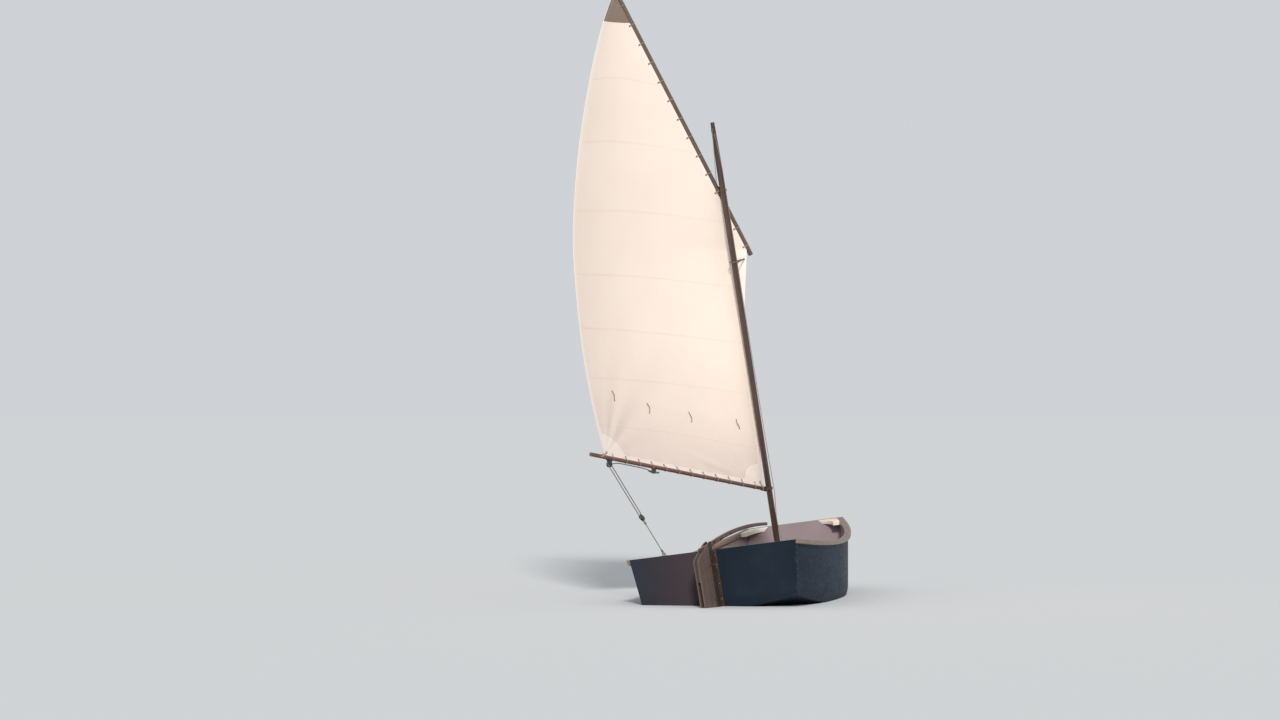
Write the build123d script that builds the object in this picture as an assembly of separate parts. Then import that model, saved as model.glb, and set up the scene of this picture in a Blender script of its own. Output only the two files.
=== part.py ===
# Lug-rigged plywood sailing pram: 2.9 m hull, unstayed mast, standing lug sail
# Millimetres. X forward, Y to port, Z up, origin amidships on the design waterline
from build123d import *

import math
import os

os.makedirs("parts", exist_ok=True)

# Hull form: half breadths at the stern, the widest station and the bow
STERN_X = -1450.0
WIDE_X = -100.0
BOW_X = 1450.0
SHEER_HALF = {"stern": 600.0, "wide": 668.0, "bow": 352.0}
WATER_HALF = {"stern": 545.0, "wide": 612.0, "bow": 305.0}
REF_SHEER_Z = 400.0
SHEER_Z = {"stern": 400.0, "wide": 345.0, "bow": 490.0}
ROCKER_X = {"stern": -1400.0, "wide": -60.0, "bow": 1270.0}
ROCKER_Z = {"stern": -45.0, "wide": -150.0, "bow": 100.0}
DEADRISE = 6.0
STERN_RAKE = 8.0
BOW_RAKE = 25.0

# Plank and timber thicknesses
PLY = 9.0
TRANSOM_T = 20.0
WALE_OUT = 22.0
WALE_IN = 18.0
WALE_H = 30.0
KEELSON_HALF = 32.0
KEELSON_T = 26.0
KEEL_HALF = 15.0
KEEL_T = 14.0
SKEG_HALF = 11.0
SKEG_DEPTH = 95.0
SKEG_FRONT = -520.0
SKEG_HEEL = 60.0
SKEG_LIFT = 6.0
KEEL_STOP = 20.0
FRAME_T = 20.0
FRAME_W = 45.0
FRAME_FLOOR = 42.0
FRAME_X = [-640.0, 560.0]
KNEE_LEG = 150.0
KNEE_TOE = 6.0
KNEE_HOLLOW = 20.0
LIMBER_R = 10.0

# Seats
SEAT_TOP = 195.0
SEAT_T = 18.0
RISER_W = 20.0
RISER_H = 34.0
STERN_SEAT_FRONT = -1080.0
MID_SEAT_W = 250.0
SEAT_ROUND = 6.0
RISER_OVER = 15.0

# Daggerboard and its trunk
TRUNK_X = 0.0
TRUNK_LEN = 420.0
TRUNK_POST = 22.0
BOARD_T = 20.0
BOARD_GAP = 2.0
BOARD_END_GAP = 4.0
BOARD_BELOW = 560.0
BOARD_TAIL = 70.0
BOARD_EDGE = 2.5
BOARD_TIP_R = 60.0
HANDLE_T = 20.0
HANDLE_H = 34.0
HANDLE_IN = 40.0
HANDLE_EDGE = 6.0
BOARD_OVER = 12.0
SEAT_REST = 0.3

# Mast, in its own frame: origin on the mast's axis at the gunwale's height
MAST_X = 750.0
MAST_Z = 420.0
MAST_RAKE = 6.5
MAST_UP = 3132.0
MAST_R = 22.0
MAST_TIP_R = 15.0
MAST_TAPER = 320.0
MAST_HOLE_GAP = 0.5
STEP_L = 170.0
STEP_W = 120.0
STEP_H = 55.0
STEP_RECESS = 34.0
STEP_EDGE = 8.0
PARTNER_TOP = 330.0
PARTNER_T = 24.0
PARTNER_W = 190.0

# Rig, in the mast's frame turned to port by the boom's angle in the photograph
BOOM_ANGLE = 26.0
RIG_OFFSET = 46.0
BOOM_R = 14.5
BOOM = {"fore_aft": -65.0, "fore_up": 338.0, "end_aft": 1917.0, "end_up": 957.0}
YARD_R = 18.5
YARD_TIP_R = 14.0
YARD_TAPER = 160.0
YARD = {"heel_aft": -275.0, "heel_up": 2102.0, "peak_aft": 856.0, "peak_up": 4231.0}
TACK_AFT = 13.0
CLEW_AFT = 1769.0
SAIL_T = 3.0
SAIL_GAP = 0.3
# Sail between foot and throat: luff and leech, aft of the mast and up from the gunwale, and belly
SAIL_LOW = {
    "luff_aft": [-32.0, -52.0, -86.0],
    "luff_up": [800.0, 1250.0, 1652.0],
    "leech_aft": [1812.0, 1828.0, 1803.0],
    "leech_up": [1270.0, 1660.0, 2054.0],
    "belly": [110.0, 150.0, 160.0],
}
# Sail along the yard: height of the head's edge, leech and belly
SAIL_HEAD = {
    "luff_up": [2140.0, 2760.0, 3350.0, 3850.0, 4140.0],
    "leech_aft": [1735.0, 1560.0, 1330.0, 1085.0, 880.0],
    "leech_up": [2500.0, 3020.0, 3500.0, 3905.0, 4165.0],
    "belly": [150.0, 110.0, 66.0, 25.0, 2.0],
}
SAIL_FOOT_BELLY = 12.0
SAIL_STRIPS = 8
RING_GAP = 0.5
RING_T = 6.0
RING_H = 18.0
SADDLE_W = 24.0
SADDLE_L = 56.0

# Blocks and cleats on the boom and the mast: a block's cheek radius and thickness, the width between
# its cheeks, the drop from spar to wheel and the plate's length; a cleat's length, height and thickness
BLOCK_AFT = 1718.0
BOOM_SHEAVE = {"out_r": 22.0, "cheek": 4.0, "width": 12.0, "drop": 30.5, "plate_l": 64.0}
CLEAT_AFT = 1240.0
BOOM_HORN = {"length": 110.0, "height": 34.0, "thick": 14.0}
MAST_CLEAT_UP = 90.0
MAST_HORN = {"length": 130.0, "height": 40.0, "thick": 16.0}
# A cleat's outline: shares of its half length and of its height from the back down, and its sink
HORN_ALONG = {"foot": 0.42, "neck": 0.28, "throat": 0.62}
HORN_DOWN = {"neck": 0.42, "throat": 0.34, "tip_in": 0.38, "tip_out": 0.12}
HORN_SINK = 3.0
HEAD_BLOCK_DOWN = 60.0
HEAD_SHEAVE = {"out_r": 16.0, "cheek": 3.0, "width": 10.0, "drop": 16.0, "plate_l": 48.0}
WHEEL_SHARE = 0.68
CHEEK_WAIST = 0.75
PLATE_T = 3.0
PLATE_WRAP = 4.0
WEB_GAP = 2.0

# Rudder, in the transom's frame: origin on its outer face at the waterline
HELM_ANGLE = 15.0
POST_T = 22.0
POST_HALF = 30.0
POST_EDGE = 4.0
POST_DOWN = 4.0
POST_FOOT = -25.0
PINTLE_OUT = 42.0
PIN_R = 4.9
PIN_GAP = 0.1
EYE_R = 9.5
EYE_H = 18.0
GUDGEON_PLATE = 2.0
GUDGEON_ARM = 14.0
GUDGEON_Z = [55.0, 300.0]
HEAD_FRONT = 54.0
HEAD_CHORD = 235.0
HEAD_FOOT = -20.0
CHEEK_T = 9.0
HEAD_ROUND = 12.0
BLADE_T = 22.0
BLADE_GAP = 0.5
PIVOT_BACK = 75.0
PIVOT_Z = 30.0
PIVOT_R = 6.0
PIVOT_HEAD_R = 11.0
PIVOT_HEAD_T = 5.0
PINTLE_H = 12.0
PINTLE_ARM = 16.0
STRAP_T = 2.0
STRAP_L = 90.0
PIN_TAIL = 10.0
HEAD_TOP = {"front": 478.0, "shoulder": 462.0, "back": 392.0}
HEAD_BACK_Z = 370.0
HEAD_SHOULDER = 0.3
HEAD_CORNER = 20.0
HEAD_HEEL = {"up": 60.0, "in": 40.0}
SPACER_DROP = 4.0
SPACER_LIFT = 195.0
BLADE_DEPTH = 560.0
BLADE_FORE = 60.0
BLADE_AFT = 160.0
BLADE_CUT = 60.0
BLADE_SHOULDER = 0.7
BLADE_CROWN = 1.1
BLADE_ROUND = 20.0
BLADE_EDGE = 3.0
BLADE_SHAVE = 60.0
TILLER_FOOT = 428.0
TILLER_LEN = 900.0
TILLER_H = 34.0
TILLER_TIP_H = 22.0
TILLER_RISE = -25.0
TILLER_BOW = 35.0
TILLER_ROOT_DROP = 10.0
SOCKET_SHARE = 0.66

# Oarlock sockets in blocks inside the gunwales, leaning out with the sides
OAR_X = -480.0
OAR_LEAN = 8.0
OAR_BLOCK_L = 120.0
OAR_BLOCK_W = 36.0
OAR_BLOCK_H = 62.0
SOCKET_R = 6.5
SOCKET_WALL = 2.5
FLANGE_R = 14.0
FLANGE_T = 2.0
OAR_BLOCK_DOWN = 1.0

# Eyes for the mainsheet and the painter
SHEET_EYE_Y = 350.0
EYE_OUT = 14.0
EYE_IN = 7.5
EYE_W = 7.0
EYE_FOOT_T = 3.0
EYE_FOOT_L = 50.0
EYE_FOOT_W = {"sheet": 16.0, "painter": 40.0}
EYE_SHARE = 0.6
PAINTER_DOWN = 150.0

# Reach of the shapes that only cut: beyond the boat, beyond the hull's ends and past a face
FAR = 2000.0
END_OVER = 250.0
PROFILE_EDGE = 900.0
PAST = 1.0


def circle_y(p, q, r, x, low):
    """Height at x of the circle through three points, on its lower or upper side."""
    (ax, ay), (bx, by), (cx, cy) = p, q, r
    d = 2 * (ax * (by - cy) + bx * (cy - ay) + cx * (ay - by))
    ux = ((ax**2 + ay**2) * (by - cy) + (bx**2 + by**2) * (cy - ay) + (cx**2 + cy**2) * (ay - by)) / d
    uy = ((ax**2 + ay**2) * (cx - bx) + (bx**2 + by**2) * (ax - cx) + (cx**2 + cy**2) * (bx - ax)) / d
    rad = math.hypot(ax - ux, ay - uy)
    rise = math.sqrt(rad**2 - (x - ux) ** 2)
    return uy - rise if low else uy + rise


END_A = STERN_X - END_OVER
END_F = BOW_X + END_OVER
TOP_Z = 640.0
BASE_Z = -230.0


def half_breadth(x, z, inset=0.0):
    """Half breadth of the hull's outer side at a station and height."""
    share = z / REF_SHEER_Z
    pts = []
    for key, px in (("stern", STERN_X), ("wide", WIDE_X), ("bow", BOW_X)):
        w = WATER_HALF[key] + (SHEER_HALF[key] - WATER_HALF[key]) * share
        pts.append((px, w - inset))
    return circle_y(*pts, x, False)


def sheer_z(x):
    pts = [(STERN_X, SHEER_Z["stern"]), (WIDE_X, SHEER_Z["wide"]), (BOW_X, SHEER_Z["bow"])]
    return circle_y(*pts, x, True)


def rocker_z(x):
    pts = [(ROCKER_X[k], ROCKER_Z[k]) for k in ("stern", "wide", "bow")]
    return circle_y(*pts, x, True)


def breadth_face(z, inset):
    a = half_breadth(END_A, z, inset)
    m = half_breadth(WIDE_X, z, inset)
    f = half_breadth(END_F, z, inset)
    port = ThreePointArc((END_A, a, z), (WIDE_X, m, z), (END_F, f, z))
    bow = Line((END_F, f, z), (END_F, -f, z))
    star = ThreePointArc((END_F, -f, z), (WIDE_X, -m, z), (END_A, -a, z))
    stern = Line((END_A, -a, z), (END_A, a, z))
    return make_face([port, bow, star, stern])


def prism(inset):
    """The hull's sides as a solid, drawn in by an inset and longer than the hull."""
    return loft([breadth_face(BASE_Z, inset), breadth_face(TOP_Z, inset)], ruled=True)


def profile_face(height, lift, edge_z):
    a = (END_A, 0, height(END_A) + lift)
    m = (WIDE_X, 0, height(WIDE_X) + lift)
    f = (END_F, 0, height(END_F) + lift)
    arc = ThreePointArc(a, m, f)
    fore = Line(f, (END_F, 0, edge_z))
    edge = Line((END_F, 0, edge_z), (END_A, 0, edge_z))
    aft = Line((END_A, 0, edge_z), a)
    return make_face([arc, fore, edge, aft])


def below_sheer(lift=0.0):
    return extrude(profile_face(sheer_z, lift, -PROFILE_EDGE), amount=FAR, dir=(0, 1, 0), both=True)


def above_keel_line(lift=0.0):
    return extrude(profile_face(rocker_z, lift, PROFILE_EDGE), amount=FAR, dir=(0, 1, 0), both=True)


def above_bottom_half(lift=0.0):
    """Port half of the space above the vee bottom."""
    rise = (0, math.cos(math.radians(DEADRISE)), math.sin(math.radians(DEADRISE)))
    return extrude(profile_face(rocker_z, lift, PROFILE_EDGE), amount=PROFILE_EDGE, dir=rise)


def above_bottom(lift=0.0):
    half = above_bottom_half(lift)
    return half + mirror(half, Plane.XZ)


def block(x0, x1, y0, y1, z0, z1):
    mid = ((x0 + x1) / 2, (y0 + y1) / 2, (z0 + z1) / 2)
    return Pos(*mid) * Box(x1 - x0, y1 - y0, z1 - z0)


def group(solids):
    flat = []
    for s in solids:
        flat.extend(s.solids())
    return Compound(children=flat) if len(flat) > 1 else flat[0]


STERN_FOOT_X = STERN_X + REF_SHEER_Z * math.tan(math.radians(STERN_RAKE))
TRANSOM = Location((STERN_FOOT_X, 0, 0)) * Rot(0, -STERN_RAKE, 0)
BOW = Location((BOW_X, 0, SHEER_Z["bow"])) * Rot(0, BOW_RAKE, 0)
MAST = Location((MAST_X, 0, MAST_Z)) * Rot(0, -MAST_RAKE, 0)
RIG = MAST * Rot(0, 0, -BOOM_ANGLE)
RUDDER = TRANSOM * Pos(-PINTLE_OUT, 0, 0) * Rot(0, 0, -HELM_ANGLE)

between_ends = (TRANSOM * block(0, FAR * 2, -FAR, FAR, -FAR, FAR)) & (
    BOW * block(-FAR * 2, 0, -FAR, FAR, -FAR, FAR)
)
inside_ends = (TRANSOM * block(TRANSOM_T, FAR * 2, -FAR, FAR, -FAR, FAR)) & (
    BOW * block(-FAR * 2, -TRANSOM_T, -FAR, FAR, -FAR, FAR)
)
port_side = block(-FAR, FAR, 0, FAR, -FAR, FAR)

outer = prism(0)
inner = prism(PLY)
lip_z = PLY / math.cos(math.radians(DEADRISE))
over_outside = above_bottom(0)
over_inside = above_bottom(lip_z)
under_sheer = below_sheer()
under_wale = below_sheer(-WALE_H)
wale_band = under_sheer - under_wale

nodes = {}

# Slot and outline of the daggerboard's trunk
slot_half = BOARD_T / 2 + BOARD_GAP
trunk_half = slot_half + PLY
trunk_slot = block(
    TRUNK_X + TRUNK_POST, TRUNK_X + TRUNK_LEN - TRUNK_POST, -slot_half, slot_half, -FAR, FAR
)
trunk_box = block(TRUNK_X, TRUNK_X + TRUNK_LEN, -trunk_half, trunk_half, -FAR, SEAT_TOP)

# Planking
side_port = (outer - inner) & over_inside & under_sheer & between_ends & port_side
bottom_port = (outer & (over_outside - over_inside) & between_ends & port_side) - trunk_slot
nodes["side_panel_port"] = side_port
nodes["side_panel_starboard"] = mirror(side_port, Plane.XZ)
nodes["bottom_panel_port"] = bottom_port
nodes["bottom_panel_starboard"] = mirror(bottom_port, Plane.XZ)

# Transoms between the side panels
stern_slab = TRANSOM * block(0, TRANSOM_T, -FAR, FAR, -FAR, FAR)
bow_slab = BOW * block(-TRANSOM_T, 0, -FAR, FAR, -FAR, FAR)
nodes["stern_transom"] = inner & stern_slab & over_inside & under_sheer
nodes["bow_transom"] = inner & bow_slab & over_inside & under_sheer

# Gunwales: a rubbing strake outside and a stringer inside each side panel
wale_out = (prism(-WALE_OUT) - outer) & wale_band & between_ends & port_side
wale_in = (inner - prism(PLY + WALE_IN)) & wale_band & inside_ends & port_side
nodes["gunwale_port"] = group([wale_out, wale_in])
nodes["gunwale_starboard"] = group([mirror(wale_out, Plane.XZ), mirror(wale_in, Plane.XZ)])

# Knees in the four corners at the sheer
knee_bay = prism(PLY + WALE_IN) & wale_band & inside_ends


def knee(x_in, forward):
    w = half_breadth(x_in, REF_SHEER_Z, PLY + WALE_IN)
    run = KNEE_LEG * forward
    mid = (x_in + run / 2 - KNEE_HOLLOW * forward, w - KNEE_LEG / 2 + KNEE_HOLLOW, 0)
    pts = [(x_in + run, w - KNEE_TOE * forward, 0), (x_in + run, w + KNEE_LEG, 0)]
    pts += [(x_in - run, w + KNEE_LEG, 0), (x_in - run, w - KNEE_LEG, 0), (x_in, w - KNEE_LEG, 0)]
    edges = [Line(pts[i], pts[i + 1]) for i in range(len(pts) - 1)]
    edges.append(ThreePointArc(pts[-1], mid, pts[0]))
    wedge = extrude(make_face(edges), amount=FAR, dir=(0, 0, 1))
    return knee_bay & wedge


stern_in = STERN_X + TRANSOM_T
bow_in = BOW_X - TRANSOM_T
stern_knee = knee(stern_in, 1)
bow_knee = knee(bow_in, -1)
knees = [stern_knee, mirror(stern_knee, Plane.XZ), bow_knee, mirror(bow_knee, Plane.XZ)]
nodes["corner_knees"] = group(knees)

# Keelson, outer keel and skeg
keel_bar = block(-FAR, FAR, -KEELSON_HALF, KEELSON_HALF, -FAR, REF_SHEER_Z)
keelson_all = (keel_bar & over_inside & inside_ends) - above_keel_line(lip_z + KEELSON_T)
keelson = keelson_all - trunk_box
nodes["keelson"] = keelson
strip = block(-FAR, FAR, -KEEL_HALF, KEEL_HALF, -FAR, FAR) & above_keel_line(-KEEL_T) & between_ends
strip = strip - over_outside
skeg_foot = rocker_z(STERN_FOOT_X) - SKEG_DEPTH
skeg_pts = [(SKEG_FRONT, 0, rocker_z(SKEG_FRONT) - KEEL_T), (SKEG_FRONT, 0, 0), (END_A, 0, 0)]
skeg_pts += [(END_A, 0, skeg_foot - SKEG_LIFT), (STERN_FOOT_X + SKEG_HEEL, 0, skeg_foot)]
skeg_edges = [Line(skeg_pts[i], skeg_pts[(i + 1) % len(skeg_pts)]) for i in range(len(skeg_pts))]
skeg = extrude(make_face(skeg_edges), amount=SKEG_HALF, dir=(0, 1, 0), both=True)
nodes["skeg"] = (skeg & between_ends) - over_outside
aft_strip = strip & block(SKEG_FRONT, TRUNK_X - KEEL_STOP, -FAR, FAR, -FAR, FAR)
fore_strip = strip & block(TRUNK_X + TRUNK_LEN + KEEL_STOP, FAR, -FAR, FAR, -FAR, FAR)
nodes["outer_keel"] = group([aft_strip, fore_strip])

# Frames across the bottom and up the sides, with limber holes beside the keelson
frame_core = prism(PLY + FRAME_W) & above_bottom(lip_z + FRAME_FLOOR)
frames = []
for x in FRAME_X:
    plate = block(x - FRAME_T / 2, x + FRAME_T / 2, -FAR, FAR, -FAR, FAR)
    frame = ((plate & inner & over_inside & under_wale) - frame_core) - keelson_all
    limber_y = KEELSON_HALF + LIMBER_R / 2
    limber_z = rocker_z(x) + lip_z + limber_y * math.tan(math.radians(DEADRISE))
    for y in (-limber_y, limber_y):
        frame = frame - Pos(x, y, limber_z) * Rot(0, 90, 0) * Cylinder(LIMBER_R, FRAME_T * 2)
    frames.append(frame)
nodes["frames"] = group(frames)

# Seats on short risers along the side panels
MID_SEAT_FRONT = TRUNK_X


def seat(x0, x1, top, thick):
    """A plank across the boat with its free upper edges rounded."""
    plank = block(x0, x1, -FAR, FAR, top - thick, top) & inner & inside_ends
    crosswise = plank.edges().filter_by(Axis.Y)
    free = [
        e for e in crosswise
        if abs(e.center().Z - top) < PAST and min(abs(e.center().X - x) for x in (x0, x1)) < PAST
    ]
    return fillet(free, SEAT_ROUND)


def risers(x0, x1, top):
    band = block(x0, x1, -FAR, FAR, top - RISER_H, top) & inside_ends
    return (band & inner) - prism(PLY + RISER_W)


partner_x = MAST_X + (MAST_Z - PARTNER_TOP) * math.tan(math.radians(MAST_RAKE))
partner_x0 = partner_x - PARTNER_W / 2
partner_x1 = partner_x + PARTNER_W / 2
nodes["stern_seat"] = seat(END_A, STERN_SEAT_FRONT, SEAT_TOP, SEAT_T)
nodes["mid_seat"] = seat(MID_SEAT_FRONT - MID_SEAT_W, MID_SEAT_FRONT, SEAT_TOP, SEAT_T)
riser_list = [risers(END_A, STERN_SEAT_FRONT + RISER_OVER, SEAT_TOP - SEAT_T)]
mid_seat_back = MID_SEAT_FRONT - MID_SEAT_W
riser_list.append(risers(mid_seat_back - RISER_OVER, MID_SEAT_FRONT + RISER_OVER, SEAT_TOP - SEAT_T))
riser_list.append(risers(partner_x0 - RISER_OVER, partner_x1 + RISER_OVER, PARTNER_TOP - PARTNER_T))
nodes["seat_risers"] = group(riser_list)

# Mast, its step and its thwart
floor_x = MAST_X + MAST_Z * math.tan(math.radians(MAST_RAKE))
step_base = rocker_z(floor_x) + lip_z + KEELSON_T
mast_low = -(MAST_Z - step_base - (STEP_H - STEP_RECESS)) / math.cos(math.radians(MAST_RAKE))
mast_len = MAST_UP - mast_low
straight = mast_len - MAST_TAPER
mast = Pos(0, 0, mast_low + straight / 2) * Cylinder(MAST_R, straight)
mast = MAST * (mast + Pos(0, 0, MAST_UP - MAST_TAPER / 2) * Cone(MAST_R, MAST_TIP_R, MAST_TAPER))
mast_room = MAST * Pos(0, 0, mast_low + straight / 2) * Cylinder(MAST_R + MAST_HOLE_GAP, straight)
nodes["mast"] = mast
step_x = MAST_X + (MAST_Z - step_base) * math.tan(math.radians(MAST_RAKE))
step = block(step_x - STEP_L / 2, step_x + STEP_L / 2, -STEP_W / 2, STEP_W / 2, -FAR, step_base + STEP_H)
step = chamfer(step.edges().group_by(Axis.Z)[-1], STEP_EDGE)
nodes["mast_step"] = (step & above_keel_line(lip_z + KEELSON_T)) - mast_room
nodes["mast_thwart"] = seat(partner_x0, partner_x1, PARTNER_TOP, PARTNER_T) - mast_room

# Daggerboard trunk and the board standing in it
nodes["daggerboard_trunk"] = (trunk_box & over_inside) - trunk_slot
board_x0 = TRUNK_X + TRUNK_POST + BOARD_END_GAP
board_x1 = TRUNK_X + TRUNK_LEN - TRUNK_POST - BOARD_END_GAP
board_top = SEAT_TOP + SEAT_REST + HANDLE_H + BOARD_OVER
board_foot = rocker_z(TRUNK_X) - BOARD_BELOW
half_t = BOARD_T / 2
nose = ThreePointArc((board_x1 - half_t, half_t, 0), (board_x1, 0, 0), (board_x1 - half_t, -half_t, 0))
tail_pts = [(board_x1 - half_t, -half_t, 0), (board_x0 + BOARD_TAIL, -half_t, 0)]
tail_pts += [(board_x0, -BOARD_EDGE, 0), (board_x0, BOARD_EDGE, 0)]
tail_pts += [(board_x0 + BOARD_TAIL, half_t, 0), (board_x1 - half_t, half_t, 0)]
tail = [Line(tail_pts[i], tail_pts[i + 1]) for i in range(len(tail_pts) - 1)]
board = Pos(0, 0, board_foot) * extrude(make_face([nose] + tail), amount=board_top - board_foot)
tip_cut = Pos(board_x1 - BOARD_TIP_R / 2, 0, board_foot + BOARD_TIP_R / 2) * Box(
    BOARD_TIP_R, FAR, BOARD_TIP_R
) - Pos(board_x1 - BOARD_TIP_R, 0, board_foot + BOARD_TIP_R) * Rot(90, 0, 0) * Cylinder(BOARD_TIP_R, FAR)
nodes["daggerboard"] = board - tip_cut
handle = block(
    board_x0 + HANDLE_IN, board_x1 - HANDLE_IN, BOARD_T / 2, BOARD_T / 2 + HANDLE_T,
    SEAT_TOP + SEAT_REST, SEAT_TOP + SEAT_REST + HANDLE_H,
)
handle = chamfer(handle.faces().sort_by(Axis.Y)[-1].edges(), HANDLE_EDGE)
nodes["daggerboard_handles"] = group([handle, mirror(handle, Plane.XZ)])

# Oarlock blocks inside the gunwale with metal sockets
oar_top = sheer_z(OAR_X) - OAR_BLOCK_DOWN
oar_y = half_breadth(OAR_X, oar_top, PLY + WALE_IN) - OAR_BLOCK_W / 2
oar_zone = prism(PLY + WALE_IN) - prism(PLY + WALE_IN + OAR_BLOCK_W)
oar_block = block(
    OAR_X - OAR_BLOCK_L / 2, OAR_X + OAR_BLOCK_L / 2, 0, FAR, oar_top - OAR_BLOCK_H, oar_top
) & oar_zone
socket_at = Location((OAR_X, oar_y, oar_top)) * Rot(-OAR_LEAN, 0, 0)
socket_out = socket_at * Pos(0, 0, FLANGE_T / 2 - OAR_BLOCK_H / 2) * Cylinder(
    SOCKET_R + SOCKET_WALL, OAR_BLOCK_H + FLANGE_T
)
flange = socket_at * Pos(0, 0, FLANGE_T / 2) * Cylinder(FLANGE_R, FLANGE_T)
seat_cut = socket_at * Pos(0, 0, OAR_BLOCK_H / 2) * Cylinder(FLANGE_R, OAR_BLOCK_H)
socket_bore = socket_at * Cylinder(SOCKET_R, OAR_BLOCK_H * 4)
oar_block = oar_block - socket_out - seat_cut
socket = (socket_out + flange) - socket_bore
nodes["oarlock_blocks"] = group([oar_block, mirror(oar_block, Plane.XZ)])
nodes["oarlock_sockets"] = group([socket, mirror(socket, Plane.XZ)])

# Stern post with the rudder's gudgeons
post_top = REF_SHEER_Z / math.cos(math.radians(STERN_RAKE)) - POST_DOWN
post = block(-POST_T, 0, -POST_HALF, POST_HALF, POST_FOOT, post_top)
nodes["stern_post"] = TRANSOM * chamfer(post.faces().sort_by(Axis.X)[0].edges(), POST_EDGE)
post_flat = POST_HALF - POST_EDGE
gudgeons = []
for z in GUDGEON_Z:
    low = z - EYE_H / 2
    plate = block(-POST_T - GUDGEON_PLATE, -POST_T, -post_flat, post_flat, low, low + EYE_H)
    arm = block(-PINTLE_OUT, -POST_T, -GUDGEON_ARM / 2, GUDGEON_ARM / 2, low, low + EYE_H)
    eye = Pos(-PINTLE_OUT, 0, z) * Cylinder(EYE_R, EYE_H)
    hole = Pos(-PINTLE_OUT, 0, z) * Cylinder(PIN_R + PIN_GAP, EYE_H * 2)
    gudgeons.append(TRANSOM * ((plate + arm + eye) - hole))
nodes["rudder_gudgeons"] = group(gudgeons)

# Rudder head: two cheeks on a spacer, with the tiller between their tops
cheek_in = BLADE_T / 2 + BLADE_GAP
cheek_out = cheek_in + CHEEK_T
front = -(HEAD_FRONT - PINTLE_OUT)
back = front - HEAD_CHORD


def plate_xz(pts, y0, y1):
    """A plate drawn in the X-Z plane between two values of Y."""
    p3 = [(x, y0, z) for x, z in pts]
    edges = [Line(p3[i], p3[(i + 1) % len(p3)]) for i in range(len(p3))]
    return extrude(make_face(edges), amount=y1 - y0, dir=(0, 1, 0))


head_pts = [(front, HEAD_FOOT), (front, HEAD_TOP["front"])]
head_pts += [(front - HEAD_CHORD * HEAD_SHOULDER, HEAD_TOP["shoulder"])]
head_pts += [(back + HEAD_CORNER, HEAD_TOP["back"]), (back, HEAD_BACK_Z)]
head_pts += [(back, HEAD_FOOT + HEAD_HEEL["up"]), (back + HEAD_HEEL["in"], HEAD_FOOT)]
cheek = plate_xz(head_pts, cheek_in, cheek_out)
cheek = fillet(cheek.edges().filter_by(Axis.Y), HEAD_ROUND)
pivot_x = front - PIVOT_BACK
pivot_axis = Pos(pivot_x, 0, PIVOT_Z) * Rot(90, 0, 0)
pivot = pivot_axis * Cylinder(PIVOT_R, cheek_out * 2)
for y in (-cheek_out - PIVOT_HEAD_T / 2, cheek_out + PIVOT_HEAD_T / 2):
    pivot = pivot + Pos(0, y, 0) * pivot_axis * Cylinder(PIVOT_HEAD_R, PIVOT_HEAD_T)
pivot_room = pivot_axis * Cylinder(PIVOT_R + PIN_GAP, FAR)
cheek = cheek - pivot_axis * Cylinder(PIVOT_R, FAR)
nodes["rudder_cheeks"] = group([RUDDER * cheek, RUDDER * mirror(cheek, Plane.XZ)])
spacer_foot = PIVOT_Z + SPACER_LIFT
socket_back = front - HEAD_CHORD * SOCKET_SHARE
spacer_pts = [(front, spacer_foot), (front, TILLER_FOOT), (socket_back, TILLER_FOOT)]
spacer_pts += [(back + HEAD_CORNER, HEAD_TOP["back"] - SPACER_DROP)]
spacer_pts += [(back, HEAD_BACK_Z), (back, spacer_foot)]
nodes["rudder_spacer"] = RUDDER * plate_xz(spacer_pts, -cheek_in, cheek_in)
nodes["blade_pivot"] = RUDDER * pivot
pintles = []
for z in GUDGEON_Z:
    low = z + EYE_H / 2 + SEAT_REST
    high = low + PINTLE_H
    arm = block(front, EYE_R, -PINTLE_ARM / 2, PINTLE_ARM / 2, low, high)
    strap = block(front - STRAP_L, front + STRAP_T, -cheek_out - STRAP_T, cheek_out + STRAP_T, low, high)
    strap = strap - block(-FAR, front, -cheek_out, cheek_out, low - PAST, high + PAST)
    pin_foot = z - EYE_H / 2 - PIN_TAIL
    pin = Pos(0, 0, (pin_foot + high) / 2) * Cylinder(PIN_R, high - pin_foot)
    pintles.append(RUDDER * (arm + strap + pin))
nodes["rudder_pintles"] = group(pintles)
tiller_side = -BLADE_T / 2
tiller_low = (TILLER_LEN, tiller_side, TILLER_FOOT + TILLER_RISE)
tiller_high = (TILLER_LEN, tiller_side, TILLER_FOOT + TILLER_RISE + TILLER_TIP_H)
tiller_mid = (TILLER_LEN + front) / 2
mid_z = TILLER_FOOT + TILLER_RISE / 2 + TILLER_BOW
root_low = (front, tiller_side, TILLER_FOOT)
root_high = (front, tiller_side, TILLER_FOOT + TILLER_H)
heel_low = (socket_back, tiller_side, TILLER_FOOT)
heel_high = (socket_back, tiller_side, TILLER_FOOT + TILLER_H - TILLER_ROOT_DROP)
tiller_edges = [
    Line(heel_low, root_low),
    ThreePointArc(root_low, (tiller_mid, tiller_side, mid_z), tiller_low),
    Line(tiller_low, tiller_high),
    ThreePointArc(
        tiller_high, (tiller_mid, tiller_side, mid_z + (TILLER_H + TILLER_TIP_H) / 2), root_high
    ),
    Line(root_high, heel_high),
    Line(heel_high, heel_low),
]
nodes["tiller"] = RUDDER * extrude(make_face(tiller_edges), amount=BLADE_T, dir=(0, 1, 0))

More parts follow.
